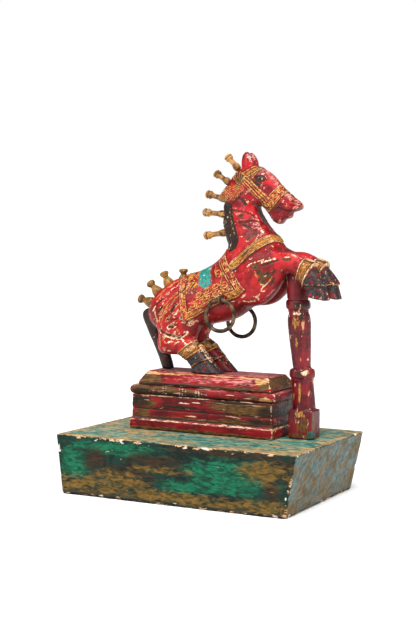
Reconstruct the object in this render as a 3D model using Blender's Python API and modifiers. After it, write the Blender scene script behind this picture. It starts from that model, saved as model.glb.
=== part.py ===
"""A carved and painted wooden horse, rearing up with its forelegs over a turned post.

The horse sits up on a stepped plinth, the plinth and the post stand on a box base, turned pegs are
let into its mane and rump, and an iron ring hangs from a staple in each flank.
Metres, +Z up. The horse faces +X and its near side faces -Y. The origin is the centre of the base's
underside.
"""
import math

import bmesh
import bpy
from mathutils import Matrix, Vector

# Gap between two pieces that touch, and round a peg, prong or post in its socket
TOUCHING_GAP = 0.0003
SOCKET_CLEARANCE = 0.0004

# Box base, wider at the top than at its foot
BASE_HEIGHT = 0.104
BASE_MARGIN_TAIL_END = 0.080
BASE_MARGIN_POST_END = 0.039
BASE_MARGIN_NEAR = 0.121
BASE_MARGIN_FAR = 0.077
BASE_TAPER_TAIL_END = 0.008
BASE_TAPER_POST_END = 0.020
BASE_TAPER_SIDES = 0.0075
BASE_EDGE_WEAR = 0.0028

# Plinth: a grooved block on a moulded foot, a round-nosed board and a chamfered slab
PLINTH_LENGTH = 0.2685
PLINTH_DEPTH = 0.105
MOULDING_HEIGHT = 0.016
MOULDING_REACH = 0.0035
LEDGE_RISE = 0.0045
BLOCK_HEIGHT = 0.0608
GROOVE_HEIGHT = 0.0365
GROOVE_WIDTH = 0.003
GROOVE_DEPTH = 0.002
BOARD_THICKNESS = 0.0162
BOARD_REACH_TAIL_END = 0.0036
BOARD_REACH_POST_END = 0.0076
BOARD_REACH_SIDES = 0.003
SLAB_INSET_TAIL_END = 0.0118
SLAB_LENGTH = 0.2540
SLAB_DEPTH = 0.103
SLAB_EDGE = 0.0068
SLAB_THICKNESS = 0.0243
SLAB_CHAMFER_ENDS = 0.0115
SLAB_CHAMFER_SIDES = 0.014
PLINTH_EDGE_WEAR = 0.0008

# Turned post on a square foot, leaning back so that its head bears under the forelegs
POST_GAP = 0.0155
POST_FOOT_LENGTH = 0.043
POST_FOOT_DEPTH = 0.040
POST_FOOT_HEIGHT = 0.049
POST_FOOT_WEAR = 0.0016
POST_LOWER_RADIUS = 0.0200
POST_COLLAR_RADIUS = 0.0206
POST_WAIST_RADIUS = 0.0153
POST_BELLY_RADIUS = 0.0202
POST_HEAD_RADIUS = 0.0182
POST_STEPS = 16

# Horse, drawn in hundredths of its own height
HORSE_HEIGHT = 0.3814
TAIL_FOOT_INSET = 0.0034
UNIT = HORSE_HEIGHT / 100
CARVING_GRAIN = 0.0056 * HORSE_HEIGHT
CARVING_KEPT = 0.035
RING_POINTS = 20

# Pegs: turned, with a tenon in a drilled socket
PEG_TENON_LENGTH = 0.012
PEG_STEPS = 10
MANE_PEG_KNOB_RADIUS = 0.0075
MANE_PEG_SHANK_RADIUS = 0.0046
MANE_PEG_BULB_RADIUS = 0.0067
MANE_PEG_TENON_RADIUS = 0.0034
RUMP_PEG_HEAD_RADIUS = 0.0084
RUMP_PEG_NECK_RADIUS = 0.0050
RUMP_PEG_FLARE_RADIUS = 0.0102
RUMP_PEG_TENON_RADIUS = 0.0040

# Iron rings in staples
RING_OUTER_RADIUS = 0.0302
RING_WIRE_RADIUS = 0.0035
STAPLE_WIRE_RADIUS = 0.0017
STAPLE_PRONG_LENGTH = 0.022

# Each piece's colour, roughness and metallic value
CRIMSON = (0.42, 0.020, 0.022, 1.0)
DARK_RED = (0.22, 0.016, 0.014, 1.0)
TEAL = (0.020, 0.20, 0.15, 1.0)
OCHRE = (0.55, 0.33, 0.10, 1.0)
GOLD_OCHRE = (0.52, 0.29, 0.05, 1.0)
IRON = (0.055, 0.042, 0.032, 1.0)

# Lengths and places that follow from the sizes above
BASE_LENGTH = (
    BASE_MARGIN_TAIL_END + PLINTH_LENGTH + POST_GAP + POST_FOOT_LENGTH + BASE_MARGIN_POST_END
)
BASE_DEPTH = BASE_MARGIN_NEAR + PLINTH_DEPTH + BASE_MARGIN_FAR
PLINTH_X = -BASE_LENGTH / 2 + BASE_MARGIN_TAIL_END + PLINTH_LENGTH / 2
CENTRE_Y = -BASE_DEPTH / 2 + BASE_MARGIN_NEAR + PLINTH_DEPTH / 2
POST_X = PLINTH_X + PLINTH_LENGTH / 2 + POST_GAP + POST_FOOT_LENGTH / 2
SLAB_X = PLINTH_X - PLINTH_LENGTH / 2 + SLAB_INSET_TAIL_END + SLAB_LENGTH / 2
BLOCK_Z = BASE_HEIGHT + TOUCHING_GAP
BOARD_Z = BLOCK_Z + BLOCK_HEIGHT + TOUCHING_GAP
SLAB_Z = BOARD_Z + BOARD_THICKNESS + TOUCHING_GAP
SLAB_TOP = SLAB_Z + SLAB_THICKNESS
FIGURE_X = SLAB_X - SLAB_LENGTH / 2 + SLAB_CHAMFER_ENDS + TAIL_FOOT_INSET

# Sections run from an upper to a lower point, as (upper u, upper v, lower u, lower v, half width).
# u runs along the horse from the foot of its tail and v rises from the slab.
TRUNK = [
    (-5.2, 26.8, -4.7, 24.0, 1.8),
    (-4.8, 29.0, -2.6, 21.0, 4.6),
    (-3.2, 32.6, 1.2, 18.0, 7.6),
    (1.0, 37.0, 7.0, 16.5, 9.6),
    (8.0, 41.8, 14.0, 18.0, 10.2),
    (13.4, 44.0, 20.0, 20.0, 10.0),
    (21.2, 46.0, 27.9, 21.9, 9.3),
    (28.8, 49.7, 34.4, 23.2, 9.0),
    (33.2, 53.4, 40.8, 25.4, 9.2),
    (36.0, 57.4, 47.1, 30.0, 9.6),
    (38.0, 60.4, 52.8, 34.0, 9.4),
    (42.0, 62.0, 58.8, 37.8, 8.6),
    (46.0, 62.0, 62.4, 45.0, 6.0),
]
NECK = [
    (37.0, 55.0, 52.0, 40.0, 8.6),
    (35.2, 58.6, 59.6, 44.6, 9.2),
    (33.6, 62.2, 63.4, 49.0, 8.8),
    (32.5, 65.6, 63.8, 54.0, 8.0),
    (32.0, 69.0, 62.4, 57.8, 7.2),
    (31.9, 72.2, 60.4, 60.8, 6.6),
    (32.2, 75.0, 57.9, 63.4, 6.2),
    (32.8, 78.0, 55.2, 66.2, 5.8),
    (32.2, 81.0, 53.0, 69.2, 5.6),
    (33.2, 84.4, 51.0, 72.2, 5.5),
    (35.4, 87.6, 50.2, 75.0, 5.3),
    (39.0, 91.4, 51.0, 78.6, 4.8),
]
HEADSTALL = [
    (33.0, 78.0, 35.0, 77.0, 1.6),
    (31.2, 79.2, 38.0, 75.6, 4.0),
    (31.8, 81.2, 42.0, 76.4, 5.2),
    (34.0, 84.0, 40.0, 79.0, 4.2),
]
UPPER_HEAD = [
    (36.6, 88.6, 46.0, 79.0, 3.4),
    (40.2, 92.0, 49.0, 76.8, 4.8),
    (44.8, 93.4, 51.2, 75.6, 5.3),
    (50.0, 93.2, 53.0, 74.8, 5.4),
    (53.5, 91.5, 54.8, 73.6, 5.3),
    (56.8, 89.2, 56.6, 72.4, 5.0),
    (59.3, 86.5, 58.8, 72.4, 4.6),
    (61.8, 83.5, 61.2, 72.6, 4.3),
    (64.3, 81.6, 63.6, 72.6, 4.2),
    (66.4, 79.8, 66.0, 72.8, 4.3),
    (69.2, 77.9, 68.4, 73.0, 3.8),
    (70.8, 76.4, 70.0, 73.8, 2.6),
    (71.4, 75.2, 71.2, 74.4, 1.0),
]
LOWER_JAW = [
    (53.0, 78.0, 52.2, 76.0, 3.4),
    (56.2, 75.6, 54.4, 73.8, 4.0),
    (58.6, 74.0, 56.2, 70.8, 4.2),
    (60.0, 73.6, 58.0, 68.2, 3.9),
    (61.4, 73.6, 61.0, 67.4, 3.6),
    (63.4, 73.6, 62.8, 69.7, 3.3),
    (65.9, 73.2, 65.6, 70.1, 3.0),
]
SHOULDER_AND_FORELEG = [
    (37.0, 49.0, 43.0, 31.0, 3.4),
    (42.5, 54.5, 48.5, 30.6, 5.0),
    (49.0, 58.0, 55.2, 32.0, 5.8),
    (55.0, 58.6, 60.6, 36.5, 5.8),
    (60.0, 57.4, 63.8, 41.8, 5.5),
    (64.0, 55.4, 66.0, 45.6, 5.4),
    (68.6, 55.5, 68.6, 46.0, 5.4),
    (73.2, 53.8, 71.2, 45.0, 5.2),
    (76.4, 51.4, 73.2, 43.2, 4.8),
    (79.0, 50.3, 75.0, 42.4, 4.5),
]
FORE_BAND = [
    (75.7, 52.6, 72.1, 42.8, 5.1),
    (76.7, 52.5, 72.7, 42.2, 5.5),
    (78.8, 51.6, 74.2, 41.4, 5.5),
    (80.2, 50.9, 74.9, 41.6, 5.0),
]
FORE_PASTERN = [
    (78.0, 50.4, 74.6, 43.2, 4.4),
    (82.6, 45.8, 75.0, 41.2, 4.8),
    (85.9, 41.3, 75.0, 39.6, 5.2),
]
FORE_HOOF = [
    (84.0, 41.8, 76.4, 40.6, 4.2),
    (85.3, 38.5, 76.0, 38.6, 4.7),
    (86.6, 34.3, 75.6, 36.4, 5.0),
]
HAUNCH = [
    (14.0, 40.0, 2.0, 37.0, 3.0),
    (20.5, 35.0, -1.5, 32.0, 4.8),
    (24.4, 28.0, -2.2, 26.5, 5.5),
    (24.4, 22.5, 0.2, 21.8, 5.5),
    (22.2, 17.4, 2.0, 17.2, 5.1),
    (20.2, 13.8, 1.6, 12.9, 4.8),
    (17.0, 10.6, 2.4, 9.0, 4.4),
    (13.0, 8.4, 4.6, 7.6, 3.4),
]
CANNON = [
    (5.0, 13.0, 4.2, 8.8, 3.6),
    (10.0, 14.6, 8.6, 7.5, 4.3),
    (16.0, 15.4, 12.8, 7.6, 4.4),
    (21.4, 14.6, 15.2, 7.6, 4.4),
    (24.6, 12.0, 17.2, 6.4, 4.2),
]
HIND_BAND = [
    (22.4, 14.1, 14.6, 8.2, 4.8),
    (23.3, 13.6, 14.8, 7.4, 5.2),
    (25.2, 12.0, 16.3, 5.7, 5.2),
    (25.5, 10.9, 17.1, 5.5, 4.7),
]
HIND_PASTERN = [
    (24.2, 12.6, 16.8, 7.2, 4.2),
    (27.6, 9.0, 18.2, 5.2, 4.6),
    (30.6, 6.0, 19.0, 3.8, 4.9),
]
HIND_HOOF = [
    (28.0, 7.6, 19.8, 4.8, 4.0),
    (32.0, 4.0, 20.0, 2.2, 4.6),
    (36.0, 0.2, 20.2, -0.6, 4.7),
    (36.6, -1.2, 20.4, -1.8, 4.5),
]
TAIL = [
    (-6.6, 28.6, -3.6, 29.2, 1.6),
    (-8.6, 26.8, -3.6, 27.4, 2.3),
    (-9.1, 24.0, -4.2, 24.8, 2.4),
    (-5.5, 16.3, -0.6, 18.2, 2.4),
    (-2.5, 10.4, 2.2, 12.4, 2.4),
    (0.1, 4.6, 5.4, 6.4, 2.4),
    (2.1, -1.0, 7.6, -0.4, 2.4),
]
# Ears: height, place along the head, half length and half width of each level
EAR = [
    (89.5, 45.6, 2.8, 1.6),
    (92.5, 46.1, 3.6, 2.1),
    (95.0, 46.1, 3.6, 2.1),
    (97.2, 45.8, 3.0, 1.8),
    (98.8, 45.3, 1.9, 1.2),
    (99.8, 45.2, 0.7, 0.5),
]
LEG_OFFSET = 6.0
SHOULDER_OFFSET = 4.7
EAR_OFFSET = 3.5
# The far foreleg and the far hind leg reach a little further forward than the near ones
FAR_FORELEG_LEAD = 0.9
FAR_HIND_LEG_LEAD = 1.1

# Pegs from seat to tip, and what the rings and the post are placed by, in the same hundredths
MANE_PEGS = [
    (39.6, 92.0, 33.5, 98.3),
    (35.4, 85.8, 27.6, 90.8),
    (33.4, 78.6, 23.3, 81.2),
    (34.0, 71.8, 21.8, 72.8),
    (34.6, 63.8, 22.4, 62.0),
]
RUMP_PEGS = [
    (-3.8, 30.3, -11.6, 32.6),
    (-0.4, 34.6, -6.2, 40.4),
    (5.0, 38.6, 1.2, 45.2),
    (12.2, 40.6, 11.9, 46.8),
]
STAPLE_U = 36.5
NEAR_STAPLE_V = 33.7
FAR_STAPLE_V = 29.8
RING_PLANE = 11.2
POST_SEAT_U = 68.3
POST_SEAT_V = 47.6


def clear_scene():
    """Removes every object, so that the script starts from nothing."""
    for item in list(bpy.data.objects):
        bpy.data.objects.remove(item, do_unlink=True)


def new_collection(name, hidden=False):
    """A collection linked to the scene, left out of renders if it is hidden."""
    collection = bpy.data.collections.new(name)
    collection.hide_render = hidden
    bpy.context.scene.collection.children.link(collection)
    return collection


def new_material(name, colour, roughness, metallic=0.0):
    """A plain Principled material."""
    material = bpy.data.materials.new(name)
    material.use_nodes = True
    shader = material.node_tree.nodes["Principled BSDF"]
    shader.inputs["Base Color"].default_value = colour
    shader.inputs["Roughness"].default_value = roughness
    shader.inputs["Metallic"].default_value = metallic
    return material


def add_object(name, bm, collection, material=None, parent=None):
    """Makes an object of a bmesh, with its normals out and its sharp edges kept."""
    bmesh.ops.recalc_face_normals(bm, faces=bm.faces)
    mesh = bpy.data.meshes.new(name)
    bm.to_mesh(mesh)
    bm.free()
    item = bpy.data.objects.new(name, mesh)
    item.parent = parent
    if material:
        mesh.materials.append(material)
        mesh.shade_smooth()
        mesh.set_sharp_from_angle(angle=math.radians(35))
    collection.objects.link(item)
    return item


def add_cutter(name, bm, collection, parent=None):
    """Makes a cutter of a bmesh, drawn as wire and left out of renders."""
    cutter = add_object(name, bm, collection, parent=parent)
    cutter.hide_render = True
    cutter.display_type = "WIRE"
    return cutter


def cut(item, cutter):
    """Cuts one object with another."""
    boolean = item.modifiers.new("cut by " + cutter.name, "BOOLEAN")
    boolean.operation = "DIFFERENCE"
    boolean.object = cutter


def worn_edges(item, width, segments=1):
    """Rounds an object's edges."""
    bevel = item.modifiers.new("worn edges", "BEVEL")
    bevel.width = width
    bevel.segments = segments
    bevel.limit_method = "ANGLE"
    bevel.angle_limit = math.radians(20)


def box_mesh(low, high):
    """A bmesh of the box between two corners."""
    bm = bmesh.new()
    bmesh.ops.create_cube(bm, size=1.0)
    low, high = Vector(low), Vector(high)
    bmesh.ops.scale(bm, vec=high - low, verts=bm.verts)
    bmesh.ops.translate(bm, vec=(low + high) / 2, verts=bm.verts)
    return bm


def stack_mesh(length, depth, levels):
    """A block whose sides follow levels of (height, reach at the ends, reach at the sides)."""
    bm = bmesh.new()
    rings = []
    for height, reach_ends, reach_sides in levels:
        x, y = length / 2 + reach_ends, depth / 2 + reach_sides
        corners = [(-x, -y), (x, -y), (x, y), (-x, y)]
        rings.append([bm.verts.new((cx, cy, height)) for cx, cy in corners])
    skin_rings(bm, rings)
    return bm


def skin_rings(bm, rings):
    """Joins rings of vertices into one closed form."""
    for lower, upper in zip(rings, rings[1:]):
        for i in range(len(lower)):
            j = (i + 1) % len(lower)
            bm.faces.new((lower[i], lower[j], upper[j], upper[i]))
    bm.faces.new(rings[0][::-1])
    bm.faces.new(rings[-1])


def turned_mesh(profile, steps):
    """A form turned about Z from a profile of (radius, height) that runs down its outer side."""
    bm = bmesh.new()
    points = [bm.verts.new((radius, 0.0, height)) for radius, height in profile]
    edges = [bm.edges.new(pair) for pair in zip(points, points[1:])]
    bmesh.ops.spin(
        bm,
        geom=points + edges,
        axis=(0, 0, 1),
        cent=(0, 0, 0),
        angle=math.tau,
        steps=steps,
        use_merge=True,
    )
    bmesh.ops.remove_doubles(bm, verts=bm.verts, dist=1e-5)
    return bm


def smooth_sections(sections, parts=3):
    """Adds sections between those given, on a Catmull-Rom curve through them."""
    rows = [Vector(row) for row in sections]
    rows = [2 * rows[0] - rows[1]] + rows + [2 * rows[-1] - rows[-2]]
    result = []
    for a, b, c, d in zip(rows, rows[1:], rows[2:], rows[3:]):
        for step in range(parts):
            t = step / parts
            curve = 2 * b + (c - a) * t + (2 * a - 5 * b + 4 * c - d) * t**2
            result.append((curve + (3 * b - a - 3 * c + d) * t**3) / 2)
    return result + [rows[-2]]


def power(value, exponent):
    """A signed power, which squares up or rounds off a circle."""
    return math.copysign(abs(value) ** exponent, value)


def loft(bm, sections, across=0.0, squareness=2.3, crest=0.0, across_at_end=None):
    """Adds a closed form through sections. A crest above 0 narrows each section towards its top."""
    rings = []
    drift = 0.0 if across_at_end is None else (across_at_end - across) / (len(sections) - 1)
    for number, (upper_u, upper_v, lower_u, lower_v, half_width) in enumerate(sections):
        upper, lower = Vector((upper_u, 0, upper_v)), Vector((lower_u, 0, lower_v))
        middle, half = (upper + lower) / 2, (upper - lower) / 2
        ring = []
        for i in range(RING_POINTS):
            angle = math.tau * i / RING_POINTS
            rise = power(math.sin(angle), 2 / squareness)
            side = power(math.cos(angle), 2 / squareness) * (1 - crest * rise)
            sideways = across + drift * number + half_width * side
            point = middle + half * rise + Vector((0, sideways, 0))
            ring.append(bm.verts.new(point * UNIT))
        rings.append(ring)
    skin_rings(bm, rings)


def ear(bm, across):
    """Adds one ear, a leaf on end with its front scooped out."""
    rings = []
    for level, centre, half_length, half_width in smooth_sections(EAR, 2):
        ring = []
        for i in range(RING_POINTS):
            angle = math.tau * i / RING_POINTS
            scoop = 0.3 * max(0.0, math.cos(angle)) ** 3
            u = centre + half_length * math.cos(angle) * (1 - scoop)
            y = across + half_width * math.sin(angle)
            ring.append(bm.verts.new(Vector((u, y, level)) * UNIT))
        rings.append(ring)
    skin_rings(bm, rings)


def moved(sections, along):
    """Sections moved along the horse."""
    return [(a + along, b, c + along, d, width) for a, b, c, d, width in sections]


def horse_mesh():
    """The forms that the horse is carved from, still overlapping each other."""
    bm = bmesh.new()
    loft(bm, smooth_sections(TRUNK), crest=0.10)
    loft(bm, smooth_sections(NECK), squareness=2.2, crest=0.34)
    loft(bm, smooth_sections(HEADSTALL), squareness=2.8)
    loft(bm, smooth_sections(UPPER_HEAD), squareness=2.6, crest=0.12)
    loft(bm, smooth_sections(LOWER_JAW), squareness=2.6)
    loft(bm, smooth_sections(TAIL), squareness=4.0)
    for side in (-1, 1):
        fore_lead = FAR_FORELEG_LEAD if side > 0 else 0.0
        hind_lead = FAR_HIND_LEG_LEAD if side > 0 else 0.0
        shoulder_and_leg = moved(smooth_sections(SHOULDER_AND_FORELEG), fore_lead)
        loft(bm, shoulder_and_leg, side * SHOULDER_OFFSET, 2.5, across_at_end=side * LEG_OFFSET)
        for sections in (FORE_BAND, FORE_PASTERN, FORE_HOOF):
            loft(bm, moved(sections, fore_lead), side * LEG_OFFSET, 2.7)
        loft(bm, moved(smooth_sections(HAUNCH), hind_lead), side * SHOULDER_OFFSET, 2.5)
        for sections in (smooth_sections(CANNON), HIND_BAND, HIND_PASTERN, HIND_HOOF):
            loft(bm, moved(sections, hind_lead), side * LEG_OFFSET, 2.7)
        ear(bm, side * EAR_OFFSET)
    return bm


def carve_as_one(horse):
    """Fuses the overlapping forms into one skin, softens it and keeps only the facets it needs."""
    fuse = horse.modifiers.new("one block of wood", "REMESH")
    fuse.mode = "VOXEL"
    fuse.voxel_size = CARVING_GRAIN
    soften = horse.modifiers.new("soft carving", "SMOOTH")
    soften.factor = 0.5
    soften.iterations = 2
    facets = horse.modifiers.new("facets", "DECIMATE")
    facets.ratio = CARVING_KEPT
    facets.use_collapse_triangulate = True


def axis_matrix(foot, direction):
    """Places a turned form so that its Z runs along a direction from its foot."""
    return Matrix.Translation(foot) @ direction.to_track_quat("Z", "Y").to_matrix().to_4x4()


def mane_peg_profile(length):
    """A long peg with a grooved knob, a thin shank and a bulb above its tenon."""
    knob, shank, bulb = MANE_PEG_KNOB_RADIUS, MANE_PEG_SHANK_RADIUS, MANE_PEG_BULB_RADIUS
    return [
        (0.0, length),
        (0.70 * knob, 0.97 * length),
        (knob, 0.88 * length),
        (0.88 * knob, 0.81 * length),
        (0.98 * knob, 0.75 * length),
        (shank, 0.65 * length),
        (shank, 0.40 * length),
        (0.95 * bulb, 0.29 * length),
        (bulb, 0.14 * length),
        (0.84 * bulb, 0.0),
        (MANE_PEG_TENON_RADIUS, 0.0),
        (MANE_PEG_TENON_RADIUS, -PEG_TENON_LENGTH),
        (0.0, -PEG_TENON_LENGTH),
    ]


def rump_peg_profile(length):
    """A spool with a round head, a narrow neck and a flared foot above its tenon."""
    head, neck, flare = RUMP_PEG_HEAD_RADIUS, RUMP_PEG_NECK_RADIUS, RUMP_PEG_FLARE_RADIUS
    return [
        (0.0, length),
        (0.85 * head, 0.96 * length),
        (head, 0.86 * length),
        (0.88 * head, 0.75 * length),
        (neck, 0.64 * length),
        (0.68 * flare, 0.50 * length),
        (0.95 * flare, 0.28 * length),
        (flare, 0.13 * length),
        (0.90 * flare, 0.0),
        (RUMP_PEG_TENON_RADIUS, 0.0),
        (RUMP_PEG_TENON_RADIUS, -PEG_TENON_LENGTH),
        (0.0, -PEG_TENON_LENGTH),
    ]


def socket_profile(peg_profile, reach):
    """The room a peg needs: its tenon's hole, and a flat seat as wide as the peg, open outwards."""
    seat = max(radius for radius, height in peg_profile) + SOCKET_CLEARANCE
    hole, depth = peg_profile[-2]
    hole += SOCKET_CLEARANCE
    return [
        (0.0, reach),
        (seat, reach),
        (seat, -TOUCHING_GAP),
        (hole, -TOUCHING_GAP),
        (hole, depth - TOUCHING_GAP),
        (0.0, depth - TOUCHING_GAP),
    ]


def add_pegs(name, rows, profile_of, material, horse, figure, parts, cutters):
    """Adds a row of pegs and cuts their sockets."""
    for number, (seat_u, seat_v, tip_u, tip_v) in enumerate(rows, 1):
        seat = Vector((seat_u, 0, seat_v)) * UNIT
        reach = Vector((tip_u, 0, tip_v)) * UNIT - seat
        profile = profile_of(reach.length)
        place = axis_matrix(seat, reach)
        peg = add_object(f"{name}_{number}", turned_mesh(profile, PEG_STEPS), parts, material, figure)
        peg.matrix_local = place
        socket = turned_mesh(socket_profile(profile, reach.length), 2 * PEG_STEPS)
        cutter = add_cutter(f"{name}_{number}_socket", socket, cutters, figure)
        cutter.matrix_local = place
        cut(horse, cutter)


def staple_outline():
    """The staple's wire, as (distance out from the ring's plane, height from the eye's centre)."""
    half = RING_WIRE_RADIUS + 2 * TOUCHING_GAP + STAPLE_WIRE_RADIUS
    turn = [math.radians(angle) for angle in (90, 60, 30, 0, -30, -60, -90)]
    outline = [(half * math.cos(a), half * math.sin(a)) for a in turn]
    return [(-STAPLE_PRONG_LENGTH, half)] + outline + [(-STAPLE_PRONG_LENGTH, -half)]


def wire_object(name, points, radius, resolution):
    """A wire of round section through points, made a mesh with its caps welded."""
    curve = bpy.data.curves.new(name, "CURVE")
    curve.dimensions = "3D"
    curve.bevel_depth = radius
    curve.bevel_resolution = resolution
    curve.use_fill_caps = True
    spline = curve.splines.new("POLY")
    spline.points.add(len(points) - 1)
    for point, place in zip(spline.points, points):
        point.co = (*place, 1.0)
    guide = bpy.data.objects.new(name + "_guide", curve)
    bpy.context.scene.collection.objects.link(guide)
    graph = bpy.context.evaluated_depsgraph_get()
    mesh = bpy.data.meshes.new_from_object(guide.evaluated_get(graph))
    bm = bmesh.new()
    bm.from_mesh(mesh)
    bmesh.ops.remove_doubles(bm, verts=bm.verts, dist=1e-6)
    bpy.data.objects.remove(guide, do_unlink=True)
    bpy.data.meshes.remove(mesh)
    return bm


def add_ring_and_staple(side_name, side, eye_v, material, horse, figure, parts, cutters):
    """Adds the ring and the staple of one flank, and the holes for the staple's prongs."""
    eye = Vector((STAPLE_U, side * RING_PLANE, eye_v)) * UNIT
    route = [eye + Vector((0, side * out, rise)) for out, rise in staple_outline()]
    staple = wire_object(f"flank_staple_{side_name}", route, STAPLE_WIRE_RADIUS, 1)
    add_object(f"flank_staple_{side_name}", staple, parts, material, figure)
    for prong, (inner, outer) in enumerate(((route[0], route[1]), (route[-1], route[-2])), 1):
        beyond = (inner - outer).normalized() * TOUCHING_GAP
        hole = wire_object("prong", [outer, inner + beyond], STAPLE_WIRE_RADIUS + SOCKET_CLEARANCE, 2)
        cutter = add_cutter(f"flank_staple_{side_name}_prong_{prong}", hole, cutters, figure)
        cut(horse, cutter)
    centreline = RING_OUTER_RADIUS - RING_WIRE_RADIUS
    bpy.ops.mesh.primitive_torus_add(
        major_radius=centreline,
        minor_radius=RING_WIRE_RADIUS,
        major_segments=28,
        minor_segments=8,
        location=eye - Vector((0, 0, centreline)),
        rotation=(math.pi / 2, 0, 0),
    )
    ring = bpy.context.object
    ring.name = f"flank_ring_{side_name}"
    for collection in ring.users_collection:
        collection.objects.unlink(ring)
    parts.objects.link(ring)
    ring.parent = figure
    ring.data.materials.append(material)
    ring.data.shade_smooth()


def add_base(material, parts):
    """The box base, drawn in towards its foot."""
    half_length, half_depth = BASE_LENGTH / 2, BASE_DEPTH / 2
    bm = box_mesh((-half_length, -half_depth, 0), (half_length, half_depth, BASE_HEIGHT))
    for vert in bm.verts:
        if vert.co.z < BASE_HEIGHT / 2:
            taper = BASE_TAPER_TAIL_END if vert.co.x < 0 else BASE_TAPER_POST_END
            vert.co.x -= math.copysign(taper, vert.co.x)
            vert.co.y -= math.copysign(BASE_TAPER_SIDES, vert.co.y)
    base = add_object("base_box", bm, parts, material)
    worn_edges(base, BASE_EDGE_WEAR, 2)
    return base


def add_plinth(material, parts):
    """The three parts of the plinth, one on the other."""
    groove_low = GROOVE_HEIGHT - GROOVE_WIDTH / 2
    groove_high = GROOVE_HEIGHT + GROOVE_WIDTH / 2
    block_levels = [
        (0.0, MOULDING_REACH, MOULDING_REACH),
        (MOULDING_HEIGHT, MOULDING_REACH, MOULDING_REACH),
        (MOULDING_HEIGHT + LEDGE_RISE, 0.0, 0.0),
        (groove_low, 0.0, 0.0),
        (GROOVE_HEIGHT, -GROOVE_DEPTH, -GROOVE_DEPTH),
        (groove_high, 0.0, 0.0),
        (BLOCK_HEIGHT, 0.0, 0.0),
    ]
    board_levels = []
    for degrees in (-60, -30, 0, 30, 60):
        angle = math.radians(degrees)
        rise = 0.5 + 0.5 * math.sin(angle) / math.sin(math.radians(60))
        worn = (math.cos(angle) - 1) * BOARD_THICKNESS / 2
        board_levels.append((rise * BOARD_THICKNESS, worn, worn))
    slab_levels = [
        (0.0, 0.0, 0.0),
        (SLAB_EDGE, 0.0, 0.0),
        (SLAB_THICKNESS, -SLAB_CHAMFER_ENDS, -SLAB_CHAMFER_SIDES),
    ]
    board_x = PLINTH_X + (BOARD_REACH_POST_END - BOARD_REACH_TAIL_END) / 2
    board_length = PLINTH_LENGTH + BOARD_REACH_TAIL_END + BOARD_REACH_POST_END
    board_depth = PLINTH_DEPTH + 2 * BOARD_REACH_SIDES
    courses = (
        ("plinth_block", PLINTH_LENGTH, PLINTH_DEPTH, block_levels, PLINTH_X, BLOCK_Z),
        ("plinth_board", board_length, board_depth, board_levels, board_x, BOARD_Z),
        ("plinth_slab", SLAB_LENGTH, SLAB_DEPTH, slab_levels, SLAB_X, SLAB_Z),
    )
    for name, length, depth, levels, centre_x, height in courses:
        course = add_object(name, stack_mesh(length, depth, levels), parts, material)
        course.location = (centre_x, CENTRE_Y, height)
        worn_edges(course, PLINTH_EDGE_WEAR)


def post_profile(length):
    """The turned post above its foot: two collars, a long belly and a plain head."""
    shares = [
        (POST_HEAD_RADIUS, 1.0),
        (POST_HEAD_RADIUS, 0.790),
        (0.94 * POST_COLLAR_RADIUS, 0.772),
        (0.96 * POST_COLLAR_RADIUS, 0.740),
        (0.90 * POST_COLLAR_RADIUS, 0.708),
        (0.80 * POST_COLLAR_RADIUS, 0.698),
        (0.96 * POST_BELLY_RADIUS, 0.665),
        (POST_BELLY_RADIUS, 0.610),
        (0.5 * (POST_BELLY_RADIUS + POST_WAIST_RADIUS), 0.430),
        (POST_WAIST_RADIUS, 0.300),
        (0.97 * POST_COLLAR_RADIUS, 0.282),
        (POST_COLLAR_RADIUS, 0.246),
        (0.97 * POST_COLLAR_RADIUS, 0.213),
        (0.92 * POST_LOWER_RADIUS, 0.200),
        (POST_LOWER_RADIUS, 0.0),
    ]
    turned = [(radius, share * length) for radius, share in shares]
    return [(0.0, turned[0][1])] + turned + [(0.0, turned[-1][1])]


def add_post(material, parts, cutters, figure, horse):
    """The post, from its square foot to its head in a seat under the forelegs."""
    foot_top = Vector((POST_X, CENTRE_Y, BASE_HEIGHT + TOUCHING_GAP + POST_FOOT_HEIGHT))
    seat = Vector((FIGURE_X, CENTRE_Y, SLAB_TOP)) + Vector((POST_SEAT_U, 0, POST_SEAT_V)) * UNIT
    sunk = (seat - foot_top).normalized() * POST_FOOT_HEIGHT / 3
    shaft_length = (seat - foot_top).length - TOUCHING_GAP
    profile = post_profile(shaft_length)
    buried = profile[:-1] + [(POST_LOWER_RADIUS, -sunk.length), (0.0, -sunk.length)]
    shaft = turned_mesh(buried, POST_STEPS)
    shaft_object = add_cutter("post_shaft", shaft, cutters)
    shaft_object.matrix_world = axis_matrix(foot_top, seat - foot_top)
    half = Vector((POST_FOOT_LENGTH / 2, POST_FOOT_DEPTH / 2, 0))
    bottom = Vector((POST_X, CENTRE_Y, BASE_HEIGHT + TOUCHING_GAP))
    post = add_object("support_post", box_mesh(bottom - half, foot_top + half), parts, material)
    worn_edges(post, POST_FOOT_WEAR)
    join = post.modifiers.new("shaft on foot", "BOOLEAN")
    join.operation = "UNION"
    join.object = shaft_object
    room = POST_HEAD_RADIUS + SOCKET_CLEARANCE
    seat_profile = [
        (0.0, shaft_length + TOUCHING_GAP),
        (room, shaft_length + TOUCHING_GAP),
        (room, 0.8 * shaft_length),
        (0.0, 0.8 * shaft_length),
    ]
    cutter = add_cutter("post_seat", turned_mesh(seat_profile, 2 * POST_STEPS), cutters)
    cutter.matrix_world = axis_matrix(foot_top, seat - foot_top)
    cut(horse, cutter)


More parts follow.
